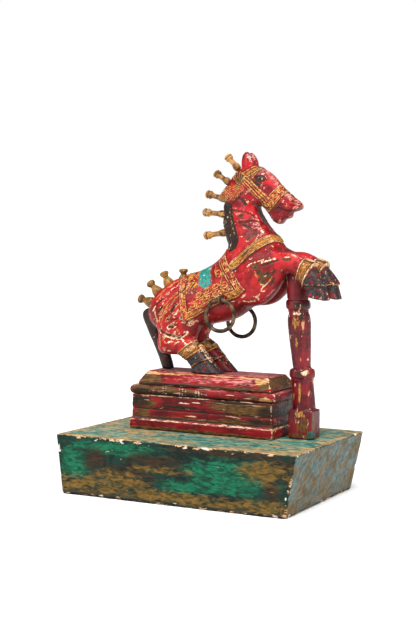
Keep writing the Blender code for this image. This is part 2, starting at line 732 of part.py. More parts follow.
def main():
    """Builds the whole piece."""
    clear_scene()
    parts = new_collection("painted_horse_on_stand")
    cutters = new_collection("cutters", hidden=True)
    red = new_material("crimson_paint", CRIMSON, 0.55)
    post_red = new_material("dark_red_paint", DARK_RED, 0.55)
    green = new_material("teal_paint", TEAL, 0.65)
    ochre = new_material("ochre_paint", OCHRE, 0.60)
    gold = new_material("gold_ochre_paint", GOLD_OCHRE, 0.60)
    iron = new_material("dark_iron", IRON, 0.55, 0.85)

    add_base(green, parts)
    add_plinth(red, parts)

    figure = bpy.data.objects.new("figure_frame", None)
    figure.location = (FIGURE_X, CENTRE_Y, SLAB_TOP)
    parts.objects.link(figure)

    horse = add_object("horse", horse_mesh(), parts, red, figure)
    carve_as_one(horse)
    ground = box_mesh((-20 * UNIT, -20 * UNIT, -20 * UNIT), (60 * UNIT, 20 * UNIT, TOUCHING_GAP))
    cut(horse, add_cutter("ground_plane", ground, cutters, figure))
    add_post(post_red, parts, cutters, figure, horse)
    add_pegs("mane_peg", MANE_PEGS, mane_peg_profile, ochre, horse, figure, parts, cutters)
    add_pegs("rump_peg", RUMP_PEGS, rump_peg_profile, gold, horse, figure, parts, cutters)
    for name, side, eye_v in (("near", -1, NEAR_STAPLE_V), ("far", 1, FAR_STAPLE_V)):
        add_ring_and_staple(name, side, eye_v, iron, horse, figure, parts, cutters)


main()
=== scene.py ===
# %% [markdown]
# # A carved and painted wooden horse on its stand
#
# The real object is a horse carved from one block, painted crimson with gold harness, and worn
# through to its cream ground and brown wood. It sits on a stepped plinth, its forelegs reach over
# a turned post, and everything stands on a green box. Pegs are let into mane and rump, and an iron
# ring hangs at each flank.
#
# The measured solids come first. They fix every place and size, and each later cell dresses one of
# them, so nothing here needs fitting by eye.

# %% Load the measured solids
import math
from functools import partial

import bmesh
import bpy
import numpy as np
from mathutils import Matrix, Vector, noise


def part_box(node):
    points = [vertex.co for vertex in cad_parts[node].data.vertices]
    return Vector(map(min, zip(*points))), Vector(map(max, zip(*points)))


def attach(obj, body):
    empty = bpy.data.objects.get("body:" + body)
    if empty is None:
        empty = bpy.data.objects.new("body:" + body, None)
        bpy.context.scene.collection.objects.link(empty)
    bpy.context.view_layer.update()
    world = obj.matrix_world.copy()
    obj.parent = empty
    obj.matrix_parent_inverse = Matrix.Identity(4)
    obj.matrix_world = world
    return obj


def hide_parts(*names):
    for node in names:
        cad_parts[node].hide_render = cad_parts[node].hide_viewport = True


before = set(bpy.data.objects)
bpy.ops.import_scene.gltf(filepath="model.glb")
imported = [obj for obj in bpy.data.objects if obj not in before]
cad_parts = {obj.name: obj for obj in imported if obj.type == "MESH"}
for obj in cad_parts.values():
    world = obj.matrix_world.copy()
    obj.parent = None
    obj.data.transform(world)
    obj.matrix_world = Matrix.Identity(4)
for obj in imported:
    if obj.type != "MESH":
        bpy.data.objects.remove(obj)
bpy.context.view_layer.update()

# %% [markdown]
# ## Colours and nodes
#
# Paint colours are easiest to read as the hex values of a screen, but Blender's shader works in
# linear light. One function turns hex to linear. A second one adds any node with its settings and
# links and gives its output, which keeps each material readable as a recipe.

# %% Colour and node helpers
def linear(hex_code):
    """A screen colour such as #b3202c as linear red, green, blue and alpha."""
    shares = [int(hex_code[i:i + 2], 16) / 255 for i in (1, 3, 5)]
    return tuple(s / 12.92 if s <= 0.04045 else ((s + 0.055) / 1.055) ** 2.4 for s in shares) + (1,)


def set_inputs(tree, node, inputs):
    """Sets a node's inputs, each to a value or by a link."""
    for name, value in inputs.items():
        if isinstance(value, bpy.types.NodeSocket):
            tree.links.new(value, node.inputs[name])
        else:
            node.inputs[name].default_value = value


def add_node(tree, kind, inputs=None, output=0, **settings):
    """Adds a node with its settings and inputs, and gives one of its outputs."""
    made = tree.nodes.new("ShaderNode" + kind)
    for name, value in settings.items():
        setattr(made, name, value)
    set_inputs(tree, made, inputs or {})
    return made.outputs[output]


def new_material(name):
    """A material, its shader, and add_node for its own nodes."""
    material = bpy.data.materials.new(name)
    material.use_nodes = True
    tree = material.node_tree
    return material, tree.nodes["Principled BSDF"], partial(add_node, tree)


print("crimson in linear light:", [round(n, 3) for n in linear("#b3202c")])

# %% [markdown]
# ## Worn paint
#
# Every wooden piece has the same layers: wood, a cream chalk ground, and oil paint that has worn,
# flaked and darkened. So one recipe builds them all. Broad noise mottles the paint, finer noise
# breaks the edge of every painted mark as brittle paint breaks, and a wear mark shows ground and
# wood. Where a mark lies is not guessed by noise: it is a number stored on the mesh, drawn later
# for each piece, and read here by its name. Sizes are real ones in millimetres. Old chalked paint
# mirrors little, so its specular level is kept low.
# A last mark darkens hollows and undersides with painted shade, and chips, cracks and joints with
# dirt.

# %% The worn paint recipe
MM = 0.001
CREAM_GROUND, BARE_WOOD, FLY_SPECK, SHADE_AND_DIRT = "#d9ad84", "#533620", "#331310", "#230f0d"


def worn_paint(name, paint, coats, lines=(), loss=0.25, stroke=(1, 1, 1), turn=(0, 0, 0),
               roughness=0.40, relief=0.35, soft=0.08, gloss=0.32, brush_mm=8, fleck_mm=2.4,
               swirl=0.0):
    """Paint as (dark, middle, light) under coats of (mark, dark, light), all broken by wear.

    A coat may end with a softness of its own for its edge. Lines are (mark, dark, light, half
    width, rise). A stroke gives how much longer than wide the brush marks run along each axis,
    after a turn.
    """
    material, shader, add = new_material(name)
    smooth = {"interpolation_type": "SMOOTHSTEP"}
    times, plus, times_plus = ({"operation": o} for o in ("MULTIPLY", "ADD", "MULTIPLY_ADD"))
    colours = {"data_type": "RGBA"}

    def tinted(colour, *tints):
        """A colour under tints of (pattern, low, high, most, tint)."""
        for pattern, low, high, most, tint in tints:
            share = add("MapRange", {0: pattern, 1: low, 2: high, 4: most}, **smooth)
            colour = add("Mix", {0: share, 6: colour, 7: tint}, 2, **colours)
        return colour

    place = add("TexCoord", output="Object")
    brushed = add("Mapping", {"Vector": place, "Scale": stroke,
                              "Rotation": [math.radians(a) for a in turn]}, vector_type="TEXTURE")
    # Noise as its size in millimetres, its detail, its roughness and the way it runs
    broad, brush, fleck, flake, speck = (
        add("TexNoise", {"Vector": way, "Scale": 1 / (size * MM), "Detail": detail,
                         "Roughness": rough, "Distortion": swirl}, "Fac")
        for size, detail, rough, way in ((34, 3, 0.6, place), (brush_mm, 4, 0.6, brushed),
                                         (fleck_mm, 4, 0.6, brushed), (9, 6, 0.68, brushed),
                                         (1.5, 2, 0.6, place)))
    dark, middle, light = (linear(h) for h in paint)
    colour = tinted(dark, (broad, 0.40, 0.60, 1, middle), (brush, 0.50, 0.78, 0.55, light),
                    (brush, 0.48, 0.26, 0.6, dark))
    fine_break = add("MapRange", {0: fleck, 1: 0.2, 2: 0.8, 3: -0.42, 4: 0.42}, **smooth)
    wide_break = add("MapRange", {0: brush, 1: 0.2, 2: 0.8, 3: -0.40, 4: 0.40}, **smooth)
    ragged = add("Math", {0: fine_break, 1: wide_break}, **plus)
    for mark, coat_dark, coat_light, *own_edge in coats:
        edge = own_edge[0] if own_edge else soft
        amount = add("Attribute", output="Fac", attribute_name=mark)
        broken = add("Math", {0: amount, 1: ragged}, **plus)
        cover = add("MapRange", {0: broken, 1: 0.52 - edge, 2: 0.52 + edge}, **smooth)
        near_mark = add("MapRange", {0: amount, 1: 0.05, 2: 0.30}, **smooth)
        cover = add("Math", {0: cover, 1: near_mark}, **times)
        coat = tinted(linear(coat_dark), (fleck, 0.34, 0.66, 1, linear(coat_light)))
        colour = add("Mix", {0: cover, 6: colour, 7: coat}, 2, **colours)
    line_height = 0.0
    for mark, line_dark, line_light, half_width, rise in lines:
        amount = add("Attribute", output="Fac", attribute_name=mark)
        area = add("Attribute", output="Fac", attribute_name=mark + "_area")
        area = add("MapRange", {0: area, 1: 0.4, 2: 0.6}, **smooth)
        apart = add("Math", {0: amount, 1: 0.5}, operation="SUBTRACT")
        apart = add("Math", {0: apart}, operation="ABSOLUTE")
        line = add("MapRange", {0: apart, 1: 0.5 * half_width, 2: 1.2 * half_width, 3: 1, 4: 0},
                   **smooth)
        line = add("Math", {0: line, 1: area}, **times)
        unbroken = add("MapRange", {0: fleck, 1: 0.36, 2: 0.50}, **smooth)
        kept = add("Math", {0: line, 1: unbroken}, **times)
        tint = tinted(linear(line_dark), (fleck, 0.35, 0.65, 1, linear(line_light)))
        colour = add("Mix", {0: kept, 6: colour, 7: tint}, 2, **colours)
        line_height = add("Math", {0: line, 1: rise, 2: line_height}, **times_plus)
    wear = add("Attribute", output="Fac", attribute_name="wear")
    bare = add("Math", {0: wear, 1: loss, 2: flake}, **times_plus)
    colour = tinted(colour, (bare, 0.690, 0.705, 1, linear(CREAM_GROUND)),
                    (bare, 0.725, 0.750, 1, linear(BARE_WOOD)),
                    (speck, 0.655, 0.70, 0.85, linear(FLY_SPECK)))
    # The last mark darkens hollows, grooves, undersides and joints: mostly painted shade, with dirt
    # in chips, cracks and joints.
    grime = add("Attribute", output="Fac", attribute_name="grime")
    grime = add("Math", {0: grime, 1: 0.9}, **times)
    colour = add("Mix", {0: grime, 6: colour, 7: linear(SHADE_AND_DIRT)}, 2, **colours)
    dull = add("Math", {0: bare, 1: 0.4, 2: brush}, **times_plus)
    dull = add("MapRange", {0: dull, 1: 0.55, 2: 1.05, 3: roughness - 0.08, 4: roughness + 0.25},
               **smooth)
    lost = add("MapRange", {0: bare, 1: 0.68, 2: 0.74, 4: -0.8}, **smooth)
    height = add("MapRange", {0: fleck, 1: 0.2, 2: 0.8, 4: 0.4}, **smooth)
    for part in (brush, lost, line_height):
        height = add("Math", {0: height, 1: part}, **plus)
    bump = add("Bump", {"Height": height, "Strength": relief, "Distance": MM})
    set_inputs(material.node_tree, shader, {
        "Base Color": colour, "Roughness": dull, "Normal": bump, "Specular IOR Level": gloss})
    return material


print("recipe ready")

# %% [markdown]
# ## From a plain solid to a carving
#
# The solids are made of few, large facets. Real wood has been cut with a knife and rubbed smooth,
# so it needs thousands of small faces to take shallow cuts. A voxel remesh lays an even skin over
# the solid. Averaging each point with its neighbours then rubs the facets away, less where an edge
# should stay crisp. The solid's own mesh is left alone: a merged copy is used.

# %% An even skin over a solid
def as_mesh(name, bm):
    """A mesh from a bmesh, which is then freed."""
    mesh = bpy.data.meshes.new(name)
    bm.to_mesh(mesh)
    bm.free()
    return mesh


def in_scene(name, data):
    """A new object in the scene."""
    thing = bpy.data.objects.new(name, data)
    bpy.context.scene.collection.objects.link(thing)
    return thing


def made_real(thing):
    """The mesh that an object's modifiers or bevel give, in place of the object."""
    graph = bpy.context.evaluated_depsgraph_get()
    mesh = bpy.data.meshes.new_from_object(thing.evaluated_get(graph))
    bpy.data.objects.remove(thing, do_unlink=True)
    return mesh


def fine_skin(node, grain_mm):
    """A copy of a solid as an even mesh, with its points and its edges."""
    bm = bmesh.new()
    bm.from_mesh(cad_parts[node].data)
    bmesh.ops.remove_doubles(bm, verts=bm.verts, dist=0.005 * MM)
    carrier = in_scene(node + "_carrier", as_mesh(node + "_skin", bm))
    remesh = carrier.modifiers.new("even skin", "REMESH")
    remesh.mode = "VOXEL"
    remesh.voxel_size = grain_mm * MM
    skin = made_real(carrier)
    points = np.zeros(len(skin.vertices) * 3)
    skin.vertices.foreach_get("co", points)
    edges = np.zeros(len(skin.edges) * 2, int)
    skin.edges.foreach_get("vertices", edges)
    return skin, points.reshape(-1, 3), edges.reshape(-1, 2)


def neighbour_mean(values, edges):
    """The mean of each point's neighbours."""
    a, b = edges.T
    size = len(values)
    count = np.bincount(a, minlength=size) + np.bincount(b, minlength=size)
    columns = [np.bincount(a, column[b], size) + np.bincount(b, column[a], size)
               for column in values.T]
    return np.column_stack(columns) / np.maximum(count, 1)[:, None]


def rubbed(points, edges, rounds, softness=0.5):
    """Points moved towards their neighbours' mean, by a softness that may differ by point."""
    softness = np.asarray(softness) * np.ones(len(points))
    for _ in range(rounds):
        points = points + softness[:, None] * (neighbour_mean(points, edges) - points)
    return points


def outward(mesh, points):
    """Writes the points to the mesh and gives its outward directions."""
    mesh.vertices.foreach_set("co", points.ravel())
    mesh.update()
    normals = np.zeros(len(mesh.vertices) * 3)
    mesh.vertices.foreach_get("normal", normals)
    return normals.reshape(-1, 3)


def moved(points, normals, rise_mm):
    """Points moved outwards by a rise of their own."""
    return points + normals * (rise_mm * MM)[:, None]


def crests(points, normals, edges):
    """How far each point stands out from those round it: +1 on a ridge, -1 in a groove."""
    wide = points
    for _ in range(5):
        wide = neighbour_mean(wide, edges)
    stand = np.einsum("ij,ij->i", points - wide, normals)
    return np.clip(stand / (0.45 * MM), -1, 1)


def waviness(points, size_mm, seed=0.0):
    """Soft noise between about -1 and 1 at each point."""
    scale = 1 / (size_mm * MM)
    return np.array([noise.noise(Vector(p) * scale + Vector((seed, 0, 0))) for p in points])


def add_mark(marks, name, amount):
    """Adds paint of one mark where it isn't there yet."""
    marks[name] = np.maximum(marks.get(name, 0), amount)


def store_marks(mesh, marks):
    """Stores each mark on the mesh, where its material reads it by name."""
    for name, values in marks.items():
        layer = mesh.attributes.new(name, "FLOAT", "POINT")
        layer.data.foreach_set("value", np.clip(values, 0, 1).astype(np.float32))


def finish_piece(name, mesh, material, node):
    """Makes the finished object in place of a solid, which it hides, and hangs it from the root
    body.
    """
    mesh.materials.clear()
    mesh.materials.append(material)
    mesh.shade_smooth()
    piece = in_scene(name, mesh)
    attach(piece, "root")
    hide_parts(node)
    print(name, "points:", len(mesh.vertices))


# %% [markdown]
# ## Drawing on a shape with lines and outlines
#
# A carver draws a strap on the block before cutting it. The same is done here with numbers: a line
# of points on the surface, the distance of every mesh point from it, and a soft step that turns
# distance into height or paint.

# %% Lines, outlines and soft steps
def soft_step(low, high, value):
    """0 below low, 1 above high and smooth between them."""
    share = np.clip((value - low) / (high - low), 0, 1)
    return share * share * (3 - 2 * share)


def strip(distance, half_width, edge=0.35):
    """1 within a half width of a line, falling to 0 over an edge."""
    return 1 - soft_step(half_width - edge, half_width + edge, distance)


def around(value, centre, half_width, edge=0.35):
    """1 where a value is within a half width of its centre, falling to 0 over an edge."""
    return strip(np.abs(value - centre), half_width, edge)


def from_line(places, line):
    """Distance from a line, the way along it, and the distance with the side as its sign."""
    places = places[:, :len(line[0])]
    best = np.full(len(places), np.inf)
    along, side, start = np.zeros(len(places)), np.ones(len(places)), 0.0
    corners = np.array(line, float)
    for a, b in zip(corners, corners[1:]):
        step = b - a
        length = np.linalg.norm(step)
        share = np.clip((places - a) @ step / length**2, 0, 1)
        gap = places - a - share[:, None] * step
        distance = np.linalg.norm(gap, axis=1)
        nearer = distance < best
        best[nearer] = distance[nearer]
        along[nearer] = (start + share * length)[nearer]
        side[nearer] = np.sign(step[0] * gap[:, 1] - step[1] * gap[:, 0])[nearer]
        start += length
    return best, along, best * side


def in_outline(places, outline):
    """Distance inside an outline drawn on the side view, below 0 outside it."""
    u, v = places[:, 0], places[:, 1]
    inside = np.zeros(len(places), bool)
    closed = list(outline) + [outline[0]]
    for (u0, v0), (u1, v1) in zip(closed, closed[1:]):
        crosses = (v0 > v) != (v1 > v)
        inside ^= crosses & (u < u0 + (v - v0) * (u1 - u0) / ((v1 - v0) or 1e-9))
    distance = from_line(places, closed)[0]
    return np.where(inside, distance, -distance)


print("lines and outlines ready")

# %% [markdown]
# ## The horse's block
#
# The horse is drawn in hundredths of its own height: u runs forward from the foot of its tail, v
# rises from the slab, and y is across it, below 0 on its near side. The skin is laid at 1.6 mm,
# about the width of a knife cut, and rubbed hard on the body and lightly on hooves, face and ears.

# %% Skin of the horse
HORSE_HEIGHT = 0.3814
UNIT = HORSE_HEIGHT / 100
FIGURE_ORIGIN = np.array((-0.1163, 0.022, 0.2062))
HORSE_GRAIN_MM = 1.63
RUBBING_ROUNDS = 28
FAR_EAR_SHIFT = 1.1

skin, points, edges = fine_skin("horse", HORSE_GRAIN_MM)


def in_hundredths(places):
    """Places as (u, v, y)."""
    return ((places - FIGURE_ORIGIN) / UNIT)[:, (0, 2, 1)]


u, v, across = in_hundredths(points).T
hooves = np.maximum(soft_step(73, 75, u) * soft_step(30, 34, v),
                    soft_step(12, 15, u) * (1 - soft_step(13, 15.5, v)))
ears = soft_step(90, 92, v) * (1 - soft_step(50, 51, u))
muzzle = soft_step(58, 61, u) * soft_step(66, 68, v)
tail = (1 - soft_step(2, 5, u)) * (1 - soft_step(26, 29, v))
crisp = np.maximum.reduce([0.82 * hooves, 0.5 * soft_step(66, 70, v), 0.85 * ears, 0.88 * muzzle,
                           0.5 * tail])
points = rubbed(points, edges, RUBBING_ROUNDS, 0.5 * (1 - crisp))
points[:, 0] -= FAR_EAR_SHIFT * UNIT * soft_step(90.5, 94, v) * (across > 0.3) * (u > 44)
normals = outward(skin, points)
own = in_hundredths(points)
u, v, across = own.T
flat = own[:, :2]
folded = np.column_stack([u, v, -np.abs(across)])
print("horse skin:", len(points), "points,", len(edges), "edges")

# %% [markdown]
# ## Harness, cloth and bands
#
# Straps, the saddle cloth and the bands above the hooves were left standing when the wood round
# them was cut back, and then lined and filled with scrolls by a small gouge. Each is a line or an
# outline with a height. Heights and paint marks are gathered first, and the wood is moved once.
# Lines with two numbers a point are drawn on the side view, those with three on the surface.

# %% Gather heights and marks
height = np.zeros(len(points))
marks = {name: np.zeros(len(points)) for name in (
    "gold tan teal deep pale maroon hair hoof ochre cream brown steel dark grime groove "
    "groove_area gilding gilding_area").split()}
put = partial(add_mark, marks)


def clear(amount, *names):
    """Takes marks away, where a later one lies over them."""
    for name in names:
        marks[name] = marks[name] * (1 - amount)


def cut(amount, depth_mm, grime=0.6):
    """Cuts a groove and paints shade into it."""
    global height
    height = height - amount * depth_mm
    put("grime", amount * grime)


def raise_wood(amount, rise_mm):
    """Leaves wood standing."""
    global height
    height = height + amount * rise_mm


def drawn(line, half_width, edge=0.35):
    """1 along a line on both sides of the horse."""
    return strip(from_line(folded, line)[0], half_width, edge)


def filled(outline, low, high):
    """1 inside an outline on the side view, with an edge from low to high."""
    return soft_step(low, high, in_outline(flat, outline))


def crossings(value, places):
    """A zigzag of the value that passes through 0 at each of the places."""
    knots, levels, sign = [places[0] - 4], [-4.0], 1
    for here, following in zip(places, places[1:]):
        knots += [here, (here + following) / 2]
        levels += [0.0, sign * (following - here) / 2]
        sign = -sign
    knots += [places[-1], places[-1] + 4]
    levels += [0.0, sign * 4.0]
    return np.interp(value, knots, levels)


def lay_lines(mark, curve, area):
    """Lays fine lines over an area, one wherever the curve passes through 0."""
    fresh = area > marks[mark + "_area"]
    marks[mark] = np.where(fresh, 0.5 + 0.5 * np.clip(curve, -1, 1), marks[mark])
    put(mark + "_area", area)


def scroll(along, side, length, reach):
    """A curve that passes through 0 on a running wave and on a curl in each of its bends."""
    wave = side - reach * np.sin(math.tau * along / length)
    curl = np.hypot((along % length) - length / 2, side) - 0.24 * length
    return np.where(np.abs(curl) < np.abs(wave), curl, wave)


print("marks:", len(marks))

# %% [markdown]
# ### Collar
# The breast band starts at the saddle cloth and crosses the front of the neck. Its two edges are
# beaded with a line, and scrolls fill the middle.

# %% Collar
COLLAR = [(41.6, 49.2, -9), (46.5, 53.2, -9), (51.4, 57.2, -8.8), (55.6, 59.9, -7.4),
          (58.8, 61.3, -4.3), (60.4, 60.9, 0)]
COLLAR_HALF_WIDTH = 1.95
apart, along, side = from_line(folded, COLLAR)
band = strip(apart, COLLAR_HALF_WIDTH, 0.3)
raise_wood(band, 1.5)
put("gold", 0.9 * band)
lay_lines("gilding", crossings(side, (-1.75, -1.05, 1.05, 1.75)), band)
lay_lines("groove", crossings(side, (-1.4, -0.7, 0.7, 1.4)), band * (np.abs(side) > 0.5))
put("brown", 0.62 * strip(apart, 0.7, 0.3) * around(along, 9, 4.5, 2))
put("deep", 0.45 * strip(apart, 0.8, 0.3) * soft_step(12, 15, along))
# Below the band's lower edge a dark groove holds a painted shadow.
cut(around(apart, COLLAR_HALF_WIDTH + 0.45, 0.32, 0.3) * (side < 0), 1.0, 0.9)
print("collar: points raised", int((band > 0.5).sum()))

# %% [markdown]
# ### Saddle cloth
# The cloth hangs over the back on both sides. Two gold lines run round it inside its edge, with
# scrolls between them, and a plain field in the middle was painted teal and tan.

# %% Saddle cloth
CLOTH = [(34.6, 59), (36.4, 54.2), (37.4, 52), (40.1, 48.6), (42.8, 45.1), (45.3, 41.5), (48, 38.4),
         (44.4, 35.2), (40.8, 33.7), (36.1, 32.3), (31.8, 30.4), (27.1, 27.8), (23, 25.4),
         (19.6, 23.8), (18.2, 22.8), (16.2, 24), (15.7, 29.5), (15, 34), (14.2, 38.5), (13.6, 42),
         (13.2, 47), (24, 56)]
FRONT_EDGE = [(35, 58)] + CLOTH[1:7]
LOWER_EDGE = CLOTH[6:14]
REAR_EDGE = CLOTH[14:21]
inside = in_outline(flat, CLOTH)
raise_wood(soft_step(-0.2, 0.35, inside), 1.2)
on_cloth = soft_step(0.0, 0.3, inside)
# Border as its edge, its lines and its bands of scrolls
BORDERS = [(FRONT_EDGE, (0.4, 3.3, 4.4), ((0.8, 2.9), (4.8, 9.0))),
           (LOWER_EDGE, (0.4, 3.2, 6.2), ((3.6, 5.8), (6.6, 9.2))),
           (REAR_EDGE, (0.4, 3.0), ((0.8, 2.6),))]
front, lower, rear = (from_line(flat, edge)[0] for edge, _, _ in BORDERS)
nearest = np.minimum.reduce([front, lower, rear])
rubbed_gilding = soft_step(-0.75, -0.1, waviness(points, 14, 21.0))
for edge_line, edge_steps, bands in BORDERS:
    distance, way, _ = from_line(flat, edge_line)
    own_part = on_cloth * (distance < nearest + 0.4)
    for step in edge_steps:
        raise_wood(around(distance, step, 0.3, 0.3) * own_part, 0.5)
    area = np.maximum.reduce([around(distance, step, 0.55, 0.1) for step in edge_steps])
    lay_lines("gilding", crossings(distance, edge_steps), own_part * area)
    grooves = [step + 0.5 for step in edge_steps]
    area = np.maximum.reduce([around(distance, step, 0.35, 0.1) for step in grooves])
    lay_lines("groove", crossings(distance, grooves), own_part * area)
    for low, high in bands:
        middle, span = (low + high) / 2, high - low
        within = around(distance, middle, span / 2, 0.25) * own_part * 0.9 * rubbed_gilding
        curls = scroll(way, distance - middle, 1.55 * span, 0.34 * span)
        lay_lines("gilding", curls, within)
        raise_wood(within * around(curls, 0, 0.3, 0.3), 0.3)
put("cream", 0.66 * around(front, 0.35, 0.2, 0.3) * on_cloth)
put("gold", 0.50 * around(lower, 1.7, 1.3, 0.4) * on_cloth)
put("gold", 0.42 * around(rear, 1.8, 1.4, 0.5) * on_cloth)
put("gold", 0.95 * drawn([(46.6, 37.8, -9.8), (41.6, 35.0, -8.8)], 2.0, 0.5) * on_cloth)
for slot_u, slot_v, slot_y in ((46.2, 38.8, -9.8), (43.8, 36.9, -9.4), (41.4, 35.8, -9.0)):
    cut(drawn([(slot_u, slot_v, slot_y), (slot_u + 1.7, slot_v - 1.5, slot_y)], 0.32, 0.3), 1.3, 1)
# A dark line just below the cloth's lower edge is a painted shadow.
put("grime", 0.8 * around(inside, -0.45, 0.3, 0.3) * (lower < 3))

TEAL_FIELD = [(22.2, 49), (28.4, 52), (29.8, 44.5), (31.8, 40.5), (29.3, 39.1), (25.8, 37.7),
              (23.6, 41)]
TAN_FIELD = [(13.8, 48), (22.6, 50), (23.4, 42), (25, 38.4), (20, 36.4), (17.6, 34), (15.6, 36)]
teal, tan = filled(TEAL_FIELD, -0.6, 0.9), filled(TAN_FIELD, -0.5, 1.2)
clear(np.maximum(teal, 0.7 * tan), "gold", "cream", "gilding_area")
put("teal", np.maximum(0.9 * teal, 0.30 * tan))
put("tan", 0.56 * tan)
put("gold", 0.54 * tan)
hatch = (u * 0.85 - v * 0.53) * math.tau / 2.6
hatched = 0.9 * tan * (1 - teal) * soft_step(-0.4, 0.1, waviness(points, 12, 17.0))
lay_lines("groove", 0.7 * np.sin(hatch), hatched)
put("dark", 0.78 * hatched * soft_step(0.55, 0.95, np.sin(hatch + 2.2)))
print("saddle cloth: points raised", int((on_cloth > 0.5).sum()))

# %% [markdown]
# ### Bridle
# A cheek strap with three cut lines runs from a ribbed rosette behind the ear to the noseband. A
# brow band and a leaf-shaped headstall meet it. Strap, brow band and noseband frame the eye panel.

# %% Bridle
CHEEK_STRAP = [(42.8, 88.8), (47.2, 85.2), (51, 81.6), (55, 78.2), (57.2, 76.2)]
NOSEBAND = [(63.6, 85), (61.8, 82.4), (58.9, 78.9), (55.8, 75.6), (54.6, 74.4)]
BROW_BAND = [(44.4, 88.8), (47.6, 90.6), (50.4, 92.6), (52.4, 93.6)]
BROW_STRAP = [(51.8, 93.4), (50.2, 90.6), (48.2, 87.6)]
HEADSTALL = [(44.8, 84.8), (45, 82), (43.2, 80.3), (40.6, 78), (37.8, 77.2), (34, 77.6),
             (30.5, 78.2), (31.5, 82), (34, 84.6), (38.4, 84.6), (41.4, 85.6)]
ROSETTE = [(37.6, 88.2), (39, 90.8), (41.8, 91.6), (44.8, 89.2), (44.6, 86), (41.6, 84.4)]
ROSETTE_CENTRE = (42.2, 85.6)
is_head = (v > 66) * (v < 96) * ((u > 53.2) | (v > 75.4)) * 1.0
rosette = filled(ROSETTE, -0.2, 0.4) * is_head
turn = np.arctan2(v - ROSETTE_CENTRE[1], u - ROSETTE_CENTRE[0])
raise_wood(rosette, 1.2)
put("gold", 0.55 * rosette)
put("brown", 0.50 * rosette)
lay_lines("groove", np.sin(turn * 9) * 0.8, rosette)
lay_lines("gilding", np.cos(turn * 9) * 0.8, rosette)
# Strap as its line, half width, rise, gilt lines, cut lines and share of gold between them
STRAPS = [
    (CHEEK_STRAP, 2.1, 1.0, (-1.85, -0.75, 0.45, 1.75), (-1.3, -0.15, 1.1), 0.42),
    (NOSEBAND, 2.4, 1.0, (-2.15, -1.45, 1.45, 2.15), (-1.8, 1.8), 0.50),
    (BROW_BAND, 1.5, 0.8, (-1.2, 1.2), (-0.75, 0.75), 0.62),
    (BROW_STRAP, 0.7, 0.6, (-0.35, 0.4), (0.0,), 0.40),
]
for line, half_width, rise, gilt, cuts, gold_share in STRAPS:
    apart, _, side = from_line(flat, line)
    strap = strip(apart, half_width, 0.25) * is_head * (1 - rosette)
    raise_wood(strap, rise)
    put("gold", gold_share * strap)
    lay_lines("gilding", crossings(side, gilt), 0.95 * strap)
    lay_lines("groove", crossings(side, cuts) if len(cuts) > 1 else side - cuts[0], 0.95 * strap)
    # A dark line round each strap is painted shade at its foot.
    put("grime", 0.85 * around(apart, half_width + 0.25, 0.2, 0.3) * is_head)
apart, along, side = from_line(flat, NOSEBAND)
middle = strip(apart, 1.2, 0.2) * is_head
clear(middle, "gold", "gilding_area")
lay_lines("gilding", scroll(along, side, 2.6, 0.8), 0.9 * middle)
apart, _, side = from_line(flat, CHEEK_STRAP)
put("gold", 0.75 * around(side, 1.5, 0.7, 0.4) * strip(apart, 2.1, 0.2) * is_head)
headstall = filled(HEADSTALL, -0.2, 0.4) * is_head
raise_wood(headstall, 0.9)
put("gold", 0.52 * headstall)
put("brown", 0.40 * headstall)
_, leaf_along, leaf_side = from_line(flat, [(31.0, 79.0), (38.0, 80.6), (45.0, 85.0)])
vein = (leaf_along + np.abs(leaf_side) * 0.9) * math.tau / 1.9
lay_lines("gilding", np.sin(vein) * 0.6, headstall)
lay_lines("groove", np.sin(vein + 1.5) * 0.6, headstall)
put("dark", 0.8 * headstall * drawn([(38.2, 80.0), (40.0, 78.9)], 0.6, 0.4))
cut(drawn([(44.2, 81.6), (41.4, 78.6), (38.8, 76.6)], 0.3, 0.3) * is_head, 1.4, 1.0)
put("deep", 0.8 * strip(np.hypot(u - 48.4, v - 89.0), 0.9, 0.5) * is_head)
print("bridle: points raised", int((headstall > 0.5).sum()))

# %% [markdown]
# ### Face, neck and mane
# The eye is a carved almond with a shadow under it, the nostril and mouth are short deep cuts, and
# two folds cross the neck. Down its back the mane is cut in long strands.

# %% Face, neck and mane
EYE_AT = (52.4, 87.5)
EYE_TILT = math.radians(-8)
eye_u, eye_v = u - EYE_AT[0], v - EYE_AT[1]
eye_along = eye_u * math.cos(EYE_TILT) + eye_v * math.sin(EYE_TILT)
eye_across = eye_v * math.cos(EYE_TILT) - eye_u * math.sin(EYE_TILT)
almond = np.hypot(eye_along / 2.1, eye_across / 1.35)
raise_wood(around(almond, 1.3, 0.25, 0.3) * is_head * (eye_across > 0.3), 0.6)
raise_wood(strip(almond, 0.55, 0.3) * is_head, 0.8)
cut(around(almond, 0.95, 0.14, 0.12) * is_head, 1.1, 0.9)
put("brown", 0.85 * strip(almond, 1.15, 0.2) * is_head)
put("dark", 0.9 * strip(np.hypot(eye_along - 0.3, eye_across * 1.4), 1.0, 0.4) * is_head)
put("ochre", 0.50 * around(almond, 0.75, 0.2, 0.15) * (eye_across > 0.2) * is_head)
put("dark", 0.85 * around(almond, 1.05, 0.16, 0.15) * is_head)
PANEL = [(48.8, 86.8), (50.4, 85), (54.6, 81.2), (57.2, 80), (59.4, 82.4), (57.8, 84.8),
         (55.4, 85.4)]
put("deep", 0.72 * filled(PANEL, -0.5, 0.8) * is_head)
BROW_RIDGE = [(51.6, 91.8), (54.6, 90.6), (57.6, 87.6), (60.2, 84.2)]
MOUTH = [(72, 74.3, -0.4), (69.3, 73.3, -2.6), (66.4, 72.6, -3.4), (63.6, 73.3, -3.9),
         (61.2, 74.4, -4.2)]
